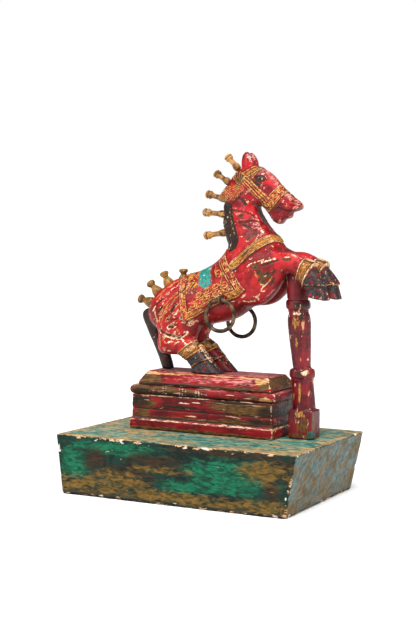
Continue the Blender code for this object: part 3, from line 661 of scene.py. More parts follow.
# Line as what it does, its share or millimetres, half width, edge, points and, for a cut, its
# painted shade
# The cream row over the eye and the pink rows on the brow ridge, muzzle and upper lip are painted
# highlights.
FACE_LINES = [
    ("cream", 0.48, 0.4, 0.4, [(51.8, 89.6), (53.6, 89.6)]),
    ("dark", 0.95, 0.55, 0.35, [(49.4, 86.6), (51, 85.2), (52.8, 84.6), (54.2, 84.9)]),
    ("raise", 0.6, 0.5, 0.5, BROW_RIDGE),
    ("pale", 0.6, 0.6, 0.5, BROW_RIDGE),
    ("tan", 0.42, 1.6, 0.9, [(52, 93.4, 0), (57, 90.8, -1), (61.4, 86.4, -1)]),
    ("cut", 1.9, 0.38, 0.35, [(67, 77.6, -3.4), (68.6, 77.4, -2.9), (69.6, 76.8, -2)], 0.9),
    ("raise", 0.8, 0.5, 0.4, [(66.2, 78.6, -3.6), (68.6, 78.7, -2.4), (70.4, 77.2, -1.6)]),
    ("tan", 0.5, 0.6, 0.4, [(66.4, 78.2, -3.6), (68.4, 78.6, -2.4)]),
    ("cut", 2.4, 0.4, 0.45, MOUTH, 0.8),
    ("cut", 2.4, 0.8, 0.9, [(70.6, 73.6, -0.6), (66.8, 72.4, -1.2)], 0.6),
    ("cut", 1.2, 0.28, 0.4, [(62.4, 76.6, -4.3), (65.4, 75.7, -4), (68.4, 75.6, -3.2),
                             (70.8, 75.4, -2)], 0.5),
    ("deep", 0.85, 0.9, 0.5, MOUTH),
    ("dark", 0.75, 0.3, 0.3, MOUTH[:4]),
    ("pale", 0.55, 1.2, 0.8, [(64, 80.6, -2.6), (67.4, 78.8, -2), (70.4, 76.6, 0)]),
    ("pale", 0.5, 0.7, 0.6, [(62, 78, -4), (65.8, 75.6, -4), (69, 75, -3)]),
    ("cream", 0.5, 0.3, 0.3, [(62.4, 79, -4), (64.8, 76.6, -4)]),
    ("dark", 0.85, 0.5, 0.4, [(59.2, 73.9, -3.7), (60.8, 75, -4.1), (62, 76.1, -4.3)]),
]
for what, amount, half_width, edge, line, *shade_in_cut in FACE_LINES:
    traced = drawn(line, half_width, edge) * (is_head if len(line[0]) == 2 else 1)
    if what == "cut":
        cut(traced, amount, *shade_in_cut)
    elif what == "raise":
        raise_wood(traced, amount)
    else:
        put(what, amount * traced)
raise_wood(strip(np.hypot(u - 65.8, v - 80.4), 0.8, 0.4) * is_head, 0.9)

CREASE_UPPER = [(38.8, 73.7, -4.6), (44.2, 73.1, -5.8), (48.1, 72, -5.7), (50.4, 70.5, -5)]
CREASE_LOWER = [(42.6, 68.3, -5.9), (46.4, 68.4, -6.3), (49.3, 68.9, -6.1), (52, 68.8, -4.9)]
for crease, depth in ((CREASE_UPPER, 1.4), (CREASE_LOWER, 1.8)):
    distance, _, fold_side = from_line(folded, crease)
    cut(strip(distance, 0.28, 0.35), depth, 0.9)
    beside = strip(distance, 1.4, 0.4)
    raise_wood(around(fold_side, 0.9, 0.5, 0.5) * beside, 0.6)
    # Beside each crease a pink line is a painted highlight on its ridge.
    put("pale", 0.5 * around(fold_side, 0.9, 0.3, 0.5) * beside)
THROAT = [(49.6, 76.4), (50.6, 72.6), (52.6, 69.4), (55.6, 66), (57.6, 64.2), (61, 62.8),
          (59, 64.8), (56.6, 67), (54.8, 69.8), (53.6, 72.5), (53, 75.8)]
UNDER_JAW = [
    (43.6, 80), (49, 78.4), (52.6, 75.4), (49, 75.6), (44, 74.6), (39.6, 75.4), (40, 77)]
put("maroon", filled(THROAT, -0.7, 0.3))
put("deep", 0.7 * filled(UNDER_JAW, -0.4, 0.8))

MANE = [(30, 77.4), (38.6, 76.8), (39.2, 72.6), (40.4, 68.1), (42.3, 63.7), (43.6, 60.1),
        (42.2, 56.4), (38.6, 54.6), (35, 58), (30, 64)]
mane = filled(MANE, -0.3, 0.4)
mane_apart, mane_along, _ = from_line(flat, MANE[1:7])
sway = np.sin(mane_along * 0.9)
put("hair", mane)
raise_wood(mane, 0.5)
lay_lines("groove", 0.6 * np.sin(mane_apart * math.tau / 2.3 + 0.8 * sway), mane)
cut(around((mane_apart + 0.35 * sway) % 1.5, 0.75, 0.25, 0.3) * mane, 0.9, 0.3)
put("ochre", 0.60 * around(mane_apart, 1.7, 0.45, 0.4) * mane * around(mane_along, 9, 7, 2))
flecked = soft_step(0.1, 0.6, waviness(points, 5, 4.0))
put("cream", 0.42 * mane * flecked * soft_step(2.2, 3.0, mane_apart))
print("eye points", int((almond < 1).sum()), "mane points", int((mane > 0.5).sum()))

# %% [markdown]
# ### Legs and tail
# A gold band with raised rims sits above each hoof. Below it the foot is painted black, with a
# ledge where the hoof begins and a cleft at the toe. The far legs stand a little further forward,
# so their marks are drawn with the same lead.

# %% Legs and tail
FORE_LEAD, HIND_LEAD = 0.9, 1.1
LEG_MIDDLE = 6.0
is_fore = (u > 66) & (v > 31) & (v < 60)
is_hind = (u > 10) & (v < 17)
leg = flat.copy()
leg[:, 0] -= (across > 0) * (FORE_LEAD * is_fore + HIND_LEAD * is_hind)
aside = np.abs(across)
FORE_BAND = [(75.3, 53.2), (80.8, 51.4), (75.1, 40.8), (71.5, 42.3)]
FORE_FOOT = [(80.9, 51.2), (90, 46), (90, 32), (74, 33), (73.6, 40.6), (75.2, 41.2)]
HIND_BAND = [(21.9, 15.2), (24.4, 13.6), (26.2, 10.8), (17.1, 4.8), (15.2, 5.4), (13.9, 8.4)]
HIND_FOOT = [(26.2, 11.2), (30, 10), (40, 1), (40, -3), (16, -3), (16.9, 4.9)]
# Leg as where it is, its band, its foot, the hoof's step, its ridge and the pitch of its arcs
LEGS = [
    (is_fore, FORE_BAND, FORE_FOOT, [(73.5, 40.9), (78, 40.8), (90, 40.4)],
     [(80.6, 49), (84, 44), (85.6, 40)], 0.62),
    (is_hind, HIND_BAND, HIND_FOOT, [(20, 1.6), (26, 4.4), (33, 8.2)],
     [(25.8, 10.4), (30, 6.4), (34, 2.4)], 0.7),
]
for where, band_outline, foot_outline, hoof_step, ridge_line, pitch in LEGS:
    inside = np.where(where, in_outline(leg, band_outline), -1)
    band = soft_step(-0.2, 0.25, inside)
    raise_wood(around(inside, 0.45, 0.35, 0.25) * where, 0.8)
    cut(around(inside, 1.1, 0.2, 0.2) * where, 0.7, 0.5)
    put("gold", band)
    put("cream", 0.62 * around(inside, 0.45, 0.3, 0.25) * where * (v > 12))
    arcs = around((0.35 * v - pitch * aside) % 1.0, 0.5, 0.12, 0.1) * soft_step(1.3, 1.6, inside)
    cut(arcs, 0.6, 0.5)
    put("deep", 0.9 * arcs)
    lay_lines("groove", crossings(inside, (0.85, 1.7)), band)
    foot = soft_step(-0.2, 0.3, in_outline(leg, foot_outline)) * where * (1 - band)
    put("hoof", foot)
    step_gap, _, step_side = from_line(leg, hoof_step)
    cut(strip(step_gap, 0.3, 0.25) * foot, 1.5, 1.0)
    put("ochre", 0.55 * around(step_side, 0.75, 0.3, 0.25) * foot)
    ridge_gap = from_line(leg, ridge_line)[0]
    middle = around(aside, LEG_MIDDLE, 0.9, 0.7) * foot
    raise_wood(strip(ridge_gap, 1.4, 0.9) * middle, 0.7)
    # Tan along the foot's front ridge is a painted highlight.
    put("tan", 0.5 * strip(ridge_gap, 1.2, 0.6) * middle)
toe = soft_step(27, 29, leg[:, 0]) * (v < 6) * is_hind
cut(around(aside, LEG_MIDDLE, 0.3, 0.25) * toe, 1.8, 0.9)
# Cream and pink on the front of the hind pastern and on the top of the toe are painted highlights.
shin = from_line(leg, [(24, 11.4), (27.4, 8.4), (30.4, 5.8)])[0]
put("cream", 0.60 * strip(shin, 0.9, 0.5) * is_hind * around(aside, 7, 1.6, 0.8))
put("pale", 0.55 * strip(shin, 1.6, 0.6) * is_hind * around(aside, 7, 2.2, 0.8))
toe_top = soft_step(26, 28, leg[:, 0]) * around(v, 4.4, 1.2, 0.5) * is_hind
put("pale", 0.7 * around(aside, 6.6, 0.5, 0.3) * toe_top)

TAIL = [(-12, 32), (-3.2, 30.2), (-2.2, 27), (-3, 24.6), (0.2, 17.6), (2.6, 12), (7.9, 6.4),
        (9.5, -2), (-2, -2), (-12, 16)]
tail = filled(TAIL, -0.4, 0.3) * (aside < 3.4)
put("hair", tail)
clear(tail, "gold", "cream")
cut(around((across * 1.1) % 1.4, 0.7, 0.16, 0.2) * tail, 0.7, 0.3)
put("deep", 0.8 * tail * soft_step(0.2, 0.8, normals[:, 0]) * (1 - soft_step(8, 14, v)))
on_foot = marks["hoof"].copy()
small_flecks = soft_step(0.25, 0.6, waviness(points, 5, 11.0))
put("ochre", 0.34 * small_flecks * np.maximum(on_foot, 0.6 * tail))
rubs = 0.75 * waviness(points, 8, 12.0) + 0.5 * waviness(points, 3, 13.0)
inner_side = is_hind * (aside < 5)
red_shows = on_foot * np.maximum(0.70 * soft_step(0, 0.45, rubs - 0.15 * is_hind),
                                 0.85 * soft_step(-0.3, 0.1, rubs) * inner_side)
clear(red_shows, "hoof")
put("deep", red_shows)
put("pale", 0.40 * soft_step(0.3, 0.6, rubs) * on_foot)
knocks = soft_step(0.25, 0.6, waviness(points, 4, 15.0))
put("cream", 0.56 * knocks * on_foot * around(aside, 6.4, 1.6, 1))
print("feet: points", int((marks["hoof"] > 0.5).sum()), "tail points", int((tail > 0.5).sum()))

# %% [markdown]
# ### Strokes, chips and wear
# The haunch carries long sweeping cuts picked out in gold and cream. Chips, cracks and rubbed
# patches come last, one short line each. The near side's are placed as they are on the real horse,
# and the hidden side gets fewer of them. A row is the mark, half a width, a depth in millimetres
# and then the line's points, three numbers each.

# %% Strokes and chips
STROKES = [
    # rump and haunch
    ("gold", 0.55, 0.5, 13, 43, -4, 12.4, 41.6, -5.6, 8.6, 39.3, -6.3, 5.9, 36.6, -8.1, 2.3, 33.4,
     -8.4),
    ("cream", 0.4, 0.5, 14.8, 40.5, -7.4, 10.7, 37.9, -8, 7.5, 35, -9.1, 3.9, 31.7, -9.3, 1.2, 28,
     -9),
    ("gold", 0.45, 0.4, 13.4, 36, -9.2, 10, 33.2, -9.6, 7, 30, -9.8, 4.4, 26, -9.6),
    ("cream", 0.35, 0.4, 9.6, 35, -9.3, 7.4, 32.4, -9.6, 5, 29, -9.6),
    ("gold", 0.45, 0.4, 14.2, 31, -10, 11.6, 27.4, -10.2, 9, 23.6, -10.1),
    ("gold", 0.4, 0.4, 10.6, 31, -10, 8.2, 27.6, -10, 6.4, 24.2, -9.8, 5.2, 21, -9.4),
    ("cream", 0.3, 0.3, 13.6, 27.6, -10.2, 12, 25, -10.2, 13.2, 24.8, -10.2),
    ("dark", 0.5, 0.6, 2.7, 30.6, -9.1, 5, 32.1, -9.4, 6, 33, -9.3),
    ("dark", 0.5, 0.6, 4, 27, -9.6, 6.2, 29.4, -9.8),
    ("dark", 0.65, 0.7, 11.1, 27.6, -10.2, 12.7, 30.4, -10.2, 13.7, 30.9, -10.2),
    ("dark", 0.4, 0.5, 8.9, 23.7, -10.1, 13.1, 24, -10.2, 14.6, 24.5, -10.1),
    ("cream", 0.5, 0.3, 15.6, 24.6, -10, 16.8, 22.7, -10, 18.9, 22.4, -9.8, 20.6, 24, -9.3),
    ("cream", 1.25, 0.2, 9.8, 20.4, -9.9, 12, 20.5, -10.1),
    ("dark", 0.75, 1, 10, 20.4, -9.9, 11.8, 20.5, -10.1),
    ("cream", 0.95, 0.2, 5.1, 17.6, -9, 8, 16.3, -9.5, 11.2, 15.8, -9.7, 15.2, 15.5, -9.5, 17.2,
     16.8, -9.3, 18.7, 18.4, -9.2),
    ("dark", 0.6, 1.2, 5, 18.6, -8.8, 7, 17.5, -9.4, 9.6, 16.7, -9.7, 12, 16.3, -9.7),
    ("dark", 0.3, 0.8, 12, 16.3, -9.7, 15.6, 15.9, -9.5, 18, 17.8, -9.2),
    ("gold", 0.35, 0.3, 14, 19.4, -9.9, 15.2, 18.2, -9.8),
    ("tan", 0.5, 0.2, 4.2, 16.2, -8.4, 4.4, 13, -8.6, 5, 11.6, -9.2),
    ("cream", 0.6, 0.2, 16.4, 15.2, -9.6, 17.8, 13.6, -9.8, 20, 12.6, -10.2),
    ("cream", 0.35, 0.1, 13.5, 13.3, -10.2, 15.4, 14, -9.9),
    ("tan", 0.6, 0.2, 1.6, 29.6, -9, 2.2, 26, -9.2, 3.6, 22, -9.2),
    ("tan", 0.5, 0.4, 12.6, 38.6, -8.6, 9.4, 36.4, -9, 6.6, 33.6, -9.4),
    ("gold", 0.5, 0.4, 15, 35.4, -9.4, 12, 33, -9.8, 9.4, 30, -9.9, 7, 26.4, -9.9),
    ("tan", 0.5, 0.4, 13, 33.6, -9.8, 11, 31, -10),
    ("tan", 0.5, 0.4, 3, 31.4, -9.2, 5.2, 34.6, -9),
    ("gold", 0.5, 0.4, 12.4, 29.6, -10, 10.4, 26, -10.1, 8, 22.4, -10),
    ("tan", 0.5, 0.3, 6.6, 28, -9.9, 5, 25, -9.7, 4.6, 22.6, -9.4),
    ("cream", 0.5, 0.4, 15, 28.6, -10.1, 13.4, 26.2, -10.2),
    ("gold", 0.4, 0.3, 14, 22.4, -10, 12.4, 22, -10.1),
    ("gold", 0.5, 0.3, 6.4, 14, -9.6, 8.4, 13, -9.9),
    # chest and shoulder
    ("brown", 1.5, 0.5, 55, 46.4, -10.8, 57.6, 44.2, -10.9, 60, 44.6, -10.7),
    ("brown", 1.1, 0.5, 55.2, 43, -10.8, 57.4, 42, -10.8, 58.2, 45.6, -10.8),
    ("brown", 1.2, 0.4, 51.8, 48.4, -10.7, 54, 49.2, -10.7, 55.4, 46.6, -10.8),
    ("brown", 0.8, 0.3, 58.4, 46.6, -10.8, 60.8, 45.2, -10.6),
    ("ochre", 0.5, 0.2, 56.4, 41, -10.6, 54.6, 43.4, -10.7, 53, 46.6, -10.7),
    ("ochre", 0.45, 0.2, 61.2, 44.6, -10.4, 59.6, 41.8, -10.5, 57, 40.4, -10.6),
    ("dark", 0.45, 0.6, 56.1, 49.1, -10.8, 59.9, 50.4, -10.7, 64.2, 51.9, -10.6),
    ("cream", 0.35, 0.2, 56.4, 50.6, -10.8, 59.4, 51.6, -10.7, 62.6, 52.6, -10.6),
    ("dark", 0.55, 0.6, 61.8, 46.1, -10.6, 62.6, 47.3, -10.6),
    ("dark", 0.55, 0.6, 62.2, 43.8, -10.2, 61, 41.6, -10.1, 59.9, 40.6, -10.1),
    ("cream", 0.45, 0.3, 49.1, 48.6, -10.4, 50.6, 49.9, -10.6, 52.2, 50.4, -10.6, 57.1, 51.9,
     -10.7),
    ("cream", 0.4, 0.3, 59.2, 41.8, -10.4, 56.9, 39.8, -10.4, 55, 37, -9.9, 53.7, 35, -9.3),
    ("cream", 0.4, 0.2, 53.9, 35.4, -9.4, 54.4, 33.9, -8.8),
    ("cream", 0.4, 0.2, 45.8, 34.7, -8.8, 48.1, 36.4, -9.5),
    ("cream", 0.45, 0.2, 46.6, 33.5, -8.3, 49, 33.1, -8.4, 52.6, 33.6, -8.7),
    ("brown", 0.75, 0.3, 66.1, 52.5, -10.6, 68, 52.1, -10.8, 69.8, 52.5, -10.5),
    ("cream", 0.35, 0.1, 65.6, 53.4, -10.4, 69, 53.3, -10.4),
    # The pink rows here, on the neck and on the ear are painted highlight and sheen.
    ("pale", 0.45, -0.6, 64.6, 43.4, -5.6, 60.6, 38.1, -8.3, 56.2, 33.7, -7.9),
    ("pale", 1.2, 0, 66, 54.9, -8, 71.2, 54, -9, 75, 52.4, -8),
    ("cream", 0.5, 0, 69.6, 54.6, -8.6, 72.6, 53.9, -8.8),
    # neck
    ("brown", 0.85, 0.3, 43, 70.9, -5.7, 44.6, 71.6, -5.9),
    ("brown", 0.45, 0.3, 43.2, 71.4, -5.7, 44, 69.8, -5.9),
    ("dark", 0.7, 0.4, 44.9, 67.2, -6.3, 46.6, 66.5, -6.6, 48.8, 65.8, -6.8),
    ("brown", 0.95, 0.3, 48.2, 60.9, -7.8, 49.9, 62.3, -7.5, 51.8, 63.3, -7),
    ("cream", 1.15, 0.2, 42.9, 78.6, -5.5, 44.7, 77.9, -5.7, 46.8, 76.9, -5.4),
    ("dark", 0.95, 0.6, 42.7, 78.8, -5.5, 44.4, 77.9, -5.7, 45.8, 76.3, -5.8),
    ("pale", 1.6, 0, 46, 66.3, -6.6, 52, 66.8, -5.8, 54.6, 64.2, -5.8, 52.3, 61.8, -7.6),
    ("pale", 0.9, 0, 40.4, 72, -4.8, 46, 71.6, -5.8),
    ("cream", 0.45, 0.1, 53, 66.6, -5.6, 54.6, 64, -5.9),
    ("cream", 0.7, 0.1, 37.6, 56.4, -5.6, 39.2, 58.2, -6.6),
    ("cream", 0.4, 0.1, 41.2, 57.2, -7.6, 43, 59.4, -7.6),
    ("brown", 0.6, 0.2, 40.4, 54.4, -7.8, 41.2, 54.8, -7.9),
    # ears
    ("pale", 1.2, 0.2, 46.6, 98.2, -4.9, 47.6, 96.4, -5.1, 47.4, 95.2, -5.2),
    ("steel", 1.1, 0, 47, 97.4, -4.9, 47.6, 95.6, -5.1),
]
STROKE_SHARES = {"dark": 1.0, "brown": 0.95, "gold": 0.84, "ochre": 0.8, "steel": 0.8,
                 "cream": 0.74, "tan": 0.72, "pale": 0.45}
FAR_SIDE_FIRST, FAR_SIDE_EVERY = 7, 3
FAR_SIDE_SHIFT = (1.3, -0.8, 0)
OUT_OF_REACH = (0, 0, 50)


def put_stroke(places, mark, half_width, depth_mm, line):
    """Paints one stroke and cuts it. A cut through lighter paint gets a thin dark line set off to
    one side, a painted shadow in the cut.
    """
    edge = 0.3 + 0.3 * (half_width > 0.8) * half_width
    amount = strip(from_line(places, line)[0], 0.75 * half_width + 0.05, edge)
    put(mark, STROKE_SHARES[mark] * amount)
    if mark in ("dark", "brown"):
        clear(amount, "cream", "gold", "tan")
    elif depth_mm > 0.25:
        put("dark", 0.85 * strip(from_line(places + (0.25, 0.25, 0), line)[0], 0.12, 0.25))
    cut(amount, depth_mm, 0.0)


scratches = soft_step(0.40, 0.62, waviness(points * (0.35, 1, 1), 4.2, 31.0))
plain_red = (1 - marks["hoof"]) * (1 - marks["hair"]) * (1 - marks["gold"]) * (v < 64)
put("cream", 0.56 * scratches * plain_red)
near_side = across[:, None] < 1.5
near_places = np.where(near_side, own, own + OUT_OF_REACH)
far_places = np.where(near_side, own + OUT_OF_REACH, folded + FAR_SIDE_SHIFT)
for number, (mark, half_width, depth_mm, *numbers) in enumerate(STROKES):
    line = np.reshape(numbers, (-1, 3))
    put_stroke(near_places, mark, half_width, depth_mm, line)
    if number < FAR_SIDE_FIRST or number % FAR_SIDE_EVERY == 0:
        put_stroke(far_places, mark, half_width, depth_mm, line)
print("strokes:", len(STROKES))

# %% Move the wood and measure its ridges
points = moved(points, normals, np.clip(height, -2.6, 3.2))
knife = waviness(points, 9) * 0.25 + waviness(points, 3.2, 7.0) * 0.10
points = rubbed(moved(points, normals, knife), edges, 1, 0.3)
normals = outward(skin, points)
ridge = crests(points, normals, edges)
# Painted shade darkens the hollows and the faces turned down, and a painted pink highlight lies on
# the ridges.
put("grime", 0.7 * soft_step(0.25, 1.0, -ridge))
put("grime", 0.62 * soft_step(0.0, 0.8, -normals[:, 2]))
put("pale", 0.36 * soft_step(0.35, 1.0, ridge) * (1 - marks["hoof"]) * (1 - marks["hair"]))
marks["wear"] = 0.22 + 0.40 * soft_step(0.3, 1.0, ridge) + 0.16 * (u < 24) * (v > 12)
marks["wear"] = marks["wear"] * (1 - 0.7 * np.maximum(marks["hoof"], marks["hair"]))
store_marks(skin, marks)
print("relief from", round(float(height.min()), 2), "to", round(float(height.max()), 2), "mm")

# %% [markdown]
# ### Crimson oil paint over gesso
# Old oil paint is smoother where it is whole and rougher where it has chalked, so its roughness
# follows its wear. Gold harness is ochre paint, not leaf, so no coat is metallic.

# %% Paint the horse
# The pink coat is mostly painted highlight and sheen, with some rubbed paint on the hooves.
HORSE_COATS = [
    ("pale", "#ad333b", "#d98d84", 0.26), ("deep", "#560c14", "#7c151e"),
    ("maroon", "#3c2422", "#86605a"), ("tan", "#8f5a34", "#cfa272"), ("teal", "#0a5f56", "#2b9486"),
    ("gold", "#7e4014", "#cb8a34"), ("hair", "#150e0d", "#37271f"), ("hoof", "#0f0b0c", "#3a3031"),
    ("ochre", "#7d4f1c", "#b98840"), ("cream", "#c58f62", "#ecd0ab"),
    ("brown", "#2c1a0d", "#5e3d1c"), ("steel", "#8e8c86", "#bdb8ae"),
    ("dark", "#170e0a", "#3b2818"),
]
HORSE_LINES = [("groove", "#1d0f0b", "#3a2012", 0.10, -1.0),
               ("gilding", "#97591f", "#d9a858", 0.09, 0.8)]
horse_paint = worn_paint(
    "crimson_oil_paint_over_gesso", ("#6e090f", "#ad151b", "#c63432"), HORSE_COATS, HORSE_LINES,
    stroke=(2.2, 1, 1), turn=(0, -40, 0), gloss=0.24)
finish_piece("carved_horse", skin, horse_paint, "horse")

# %% [markdown]
# ## Box base
#
# The base is a box of boards, painted green in long brush strokes and knocked about its edges. A
# 2.2 mm skin is fine enough for its chips. Its boards meet in a butt joint at the front corner of
# the post end, which shows as a thin dark line. Worn patches are ovals: a row is the mark, the
# middle's three numbers and the reach's three, all in millimetres.

# %% Box base
def worked_skin(node, grain_mm, rounds, softness=0.5):
    """The skin of a solid, rubbed, with its points, its outward directions and its ridges."""
    skin, points, edges = fine_skin(node, grain_mm)
    points = rubbed(points, edges, rounds, softness)
    normals = outward(skin, points)
    return skin, points, normals, crests(points, normals, edges)


def add_patches(marks, points, patches, share, ragged=1.0):
    """Adds oval patches that fade from their middle, so that brush noise decides their edge."""
    for mark, *numbers in patches:
        centre, reach = np.reshape(numbers, (2, 3)) * MM
        apart = np.linalg.norm((points - centre) / (reach * ragged), axis=1)
        add_mark(marks, mark, share * (1 - soft_step(0.15, 1.55, apart)))


BASE_HEIGHT = 0.104
BASE_TAPER = 0.020
BASE_PATCHES = [
    ("brown", -148, -151.3, 66, 24, 50, 22), ("brown", -75, -151.3, 46, 55, 50, 20),
    ("brown", 178, -151.3, 52, 16, 50, 40), ("brown", 120, -151.3, 97, 130, 50, 7),
    ("brown", 200, -151.3, 88, 30, 50, 14), ("brown", -30, -151.3, 70, 50, 50, 18),
    ("ochre", -165, -151.3, 20, 90, 50, 18), ("ochre", -100, -151.3, 35, 60, 50, 16),
    ("ochre", 0, -151.3, 14, 120, 50, 12), ("ochre", 165, -151.3, 14, 80, 50, 14),
    ("ochre", 170, -151.3, 72, 50, 50, 20), ("ochre", -20, -151.3, 58, 60, 50, 6),
    ("bright", 105, -151.3, 60, 85, 50, 30), ("bright", 20, -151.3, 35, 50, 50, 14),
    ("bright", -100, -151.3, 88, 100, 50, 12), ("bright", -185, -151.3, 50, 30, 50, 40),
]
skin, points, normals, ridge = worked_skin("base_box", 2.2, 3)
low, high = (np.array(c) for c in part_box("base_box"))
x, y, z = points.T
is_top, is_front, is_post_end = (
    soft_step(0.6, 0.9, way) for way in (normals[:, 2], -normals[:, 1], normals[:, 0]))
chips = soft_step(0.15, 0.6, waviness(points, 16)) * soft_step(0.2, 0.7, ridge)
foot_chips = soft_step(0.05, 0.5, waviness(points, 22, 3.0)) * (1 - soft_step(0.002, 0.006, z))
boards = waviness(points, 60, 5.0) * 0.35 + waviness(points * (1, 6, 6), 40, 9.0) * 0.15
joint_at = high[0] - 0.012 - (BASE_HEIGHT - z) / BASE_HEIGHT * BASE_TAPER
joint = around(x, joint_at, 0.0006, 0.0012) * is_front
crack_gap = from_line(points, [(0.212, -0.06, 0.104), (0.222, 0.02, 0.104)])[0]
crack = strip(crack_gap, 0.0006, 0.0012) * is_top
sink = 1.6 * chips + 1.8 * foot_chips + 0.9 * joint + 1.0 * crack + np.maximum(boards, 0) * 0.5
points = moved(points, normals, -0.2 - sink)
points[:, 2] = np.maximum(points[:, 2], 0.0)

broad = waviness(points * (0.7, 1, 1.8), 38, 2.0)
foot = 1 - soft_step(0.010, 0.034, z + 0.010 * broad)
slanted = np.column_stack([x, 0.8 * y + 0.6 * z, 0.25 * (0.8 * z - 0.6 * y)])
bare_end = 0.40 + 0.45 * broad + 0.45 * waviness(slanted, 9, 12.0) + 0.25 * soft_step(0.06, 0, z)
streaks = waviness(points * (0.12, 1, 1), 14, 3.0) + 0.5 * waviness(points * (0.2, 1, 1), 6, 8.0)
edge_gap = np.minimum.reduce([x - low[0], high[0] - x, y - low[1], high[1] - y])
worn_rim = 1 - soft_step(0.004, 0.022, edge_gap + 0.010 * waviness(points, 15, 6.0))
base_marks = {
    "ochre": np.maximum(0.55 * foot * (is_front + is_post_end), is_post_end * bare_end),
    "black": (1 - soft_step(0.002, 0.006, z + 0.004 * broad)) * (1 - is_top),
    "top": is_top, "end": is_post_end, "chalk": 0.75 * chips,
    "sand": is_top * (0.42 + 0.55 * streaks + 0.5 * worn_rim),
    "wear": -0.5 + 1.6 * soft_step(0.4, 1.0, ridge),
    "grime": 0.9 * np.maximum(joint, crack) + 0.5 * foot_chips,
}
add_patches(base_marks, points, BASE_PATCHES, 0.88 * is_front)
outward(skin, points)
store_marks(skin, base_marks)
print("base: points", len(points), "of them chipped", int((chips > 0.5).sum()))

# %% [markdown]
# ### Green distemper
# The sides hold dark green with brown and ochre showing, and the flat top has worn to pale teal,
# cream and tan streaks that follow the brush. The brush noise is stretched and turned, so that it
# runs in those strokes.

# %% Paint the base
BASE_COATS = [
    ("bright", "#034029", "#0c6547"), ("end", "#2c4244", "#62766e"),
    ("brown", "#150e09", "#372715"), ("ochre", "#35300f", "#705322"),
    ("top", "#185f53", "#5c9183"), ("sand", "#7a5f3d", "#b89567"),
    ("black", "#0c0907", "#1f1712"), ("chalk", "#b59a84", "#dccabb", 0.1),
]
base_paint = worn_paint(
    "green_distemper_on_boards", ("#04140f", "#082c22", "#0c4636"), BASE_COATS,
    stroke=(3.2, 2.2, 1.0), turn=(38, 0, 0), roughness=0.5, relief=0.6, soft=0.50, loss=0.12,
    gloss=0.16, brush_mm=12, fleck_mm=4.6, swirl=0.8)
finish_piece("box_base", skin, base_paint, "base_box")

# %% [markdown]
# ## Plinth
#
# Three courses of wood: a grooved block with a moulded foot, a round-nosed board and a chamfered
# slab. Long use has rubbed their arrises cream. Faces turned up and part of the slab's chamfer
# carry a painted pink highlight, and painted shade darkens everything under an overhang, the
# hollows, the grooves and the block's end by the post. The foot of each course is darker. One loop
# dresses all three, and each course names its own worn patches.

# %% Plinth courses
PLINTH_COURSES = {
    "plinth_block": ("grooved_block", [
        ("brown", 40, -34, 157, 36, 20, 8), ("brown", 85, -34, 152, 40, 20, 11),
        ("dark", 117, -34, 150, 22, 20, 7), ("dark", -132, -34, 154, 22, 20, 12),
        ("brown", -118, -34, 150, 25, 20, 8), ("dark", 55, -34, 162, 60, 20, 3),
        ("cream", -36, -34, 155, 18, 20, 1.2), ("cream", -16, -34, 157, 10, 20, 1.2),
        ("cream", -30, -34, 133, 14, 20, 1.2), ("brown", 60, -34, 130, 45, 20, 4),
        ("brown", -20, -34, 106.5, 200, 20, 4.2), ("brown", 75, -34, 153, 75, 20, 13),
        ("tan", 62, -34, 160, 50, 20, 1.6), ("brown", -125, -34, 131, 18, 20, 10),
        ("brown", 10, -34, 127.5, 140, 20, 2.4), ("dark", -40, -34, 147, 45, 20, 3),
        # The dark patch on the block's end by the post is painted shade.
        ("dark", 129, 20, 150, 20, 90, 10), ("brown", 129, 20, 125, 20, 90, 6),
        ("dark", 110, -34, 132, 30, 20, 5),
    ]),
    "plinth_board": ("round_nosed_board", [
        ("brown", -90, -36, 172, 85, 20, 12), ("dark", -50, -36, 168, 70, 20, 5),
        ("dark", -125, -36, 172, 20, 20, 6), ("cream", 48, -36, 174.5, 18, 20, 1),
        ("cream", 85, -36, 171, 10, 20, 1.2), ("tan", 112, -36, 171, 12, 20, 4.5),
        ("brown", 60, -36, 166.5, 70, 20, 2.6), ("brown", 100, -36, 173, 20, 20, 5),
    ]),
    "plinth_slab": ("chamfered_slab", [
        ("brown", 112, -26, 194, 14, 20, 9), ("brown", -112, -28, 190, 26, 20, 10),
        ("tan", -95, -24, 202.5, 50, 20, 2.2), ("dark", -60, -30, 184.5, 90, 10, 3),
        ("pale", 50, -22, 199, 50, 20, 8), ("brown", 0, -29, 185, 160, 10, 3.4),
        ("tan", 20, -20, 203.5, 110, 20, 1.2), ("brown", 118, 20, 196, 20, 60, 10),
        ("tan", 100, -22, 200, 12, 20, 6),
    ]),
}
PLINTH_COATS = [
    ("pale", "#a03a42", "#cf857c", 0.34), ("brown", "#2e1e0f", "#6b4a22", 0.2),
    ("tan", "#8a5d2f", "#c79b68"), ("dark", "#110a07", "#33220f", 0.2),
    ("cream", "#b8785f", "#e2bfa4"),
]
plinth_paint = worn_paint(
    "crimson_oil_paint_on_plinth", ("#4c070c", "#7e0d14", "#a02128"), PLINTH_COATS,
    stroke=(5, 1, 0.8), relief=0.5, soft=0.12, gloss=0.2)
COMB_FROM, COMB_TO, COMB_PITCH, COMB_FADE = -0.105, 0.010, 0.0031, 0.004
LEDGE_AT = 0.1215
BLOCK_GROOVES = (0.1405, 0.1255, 0.1635)
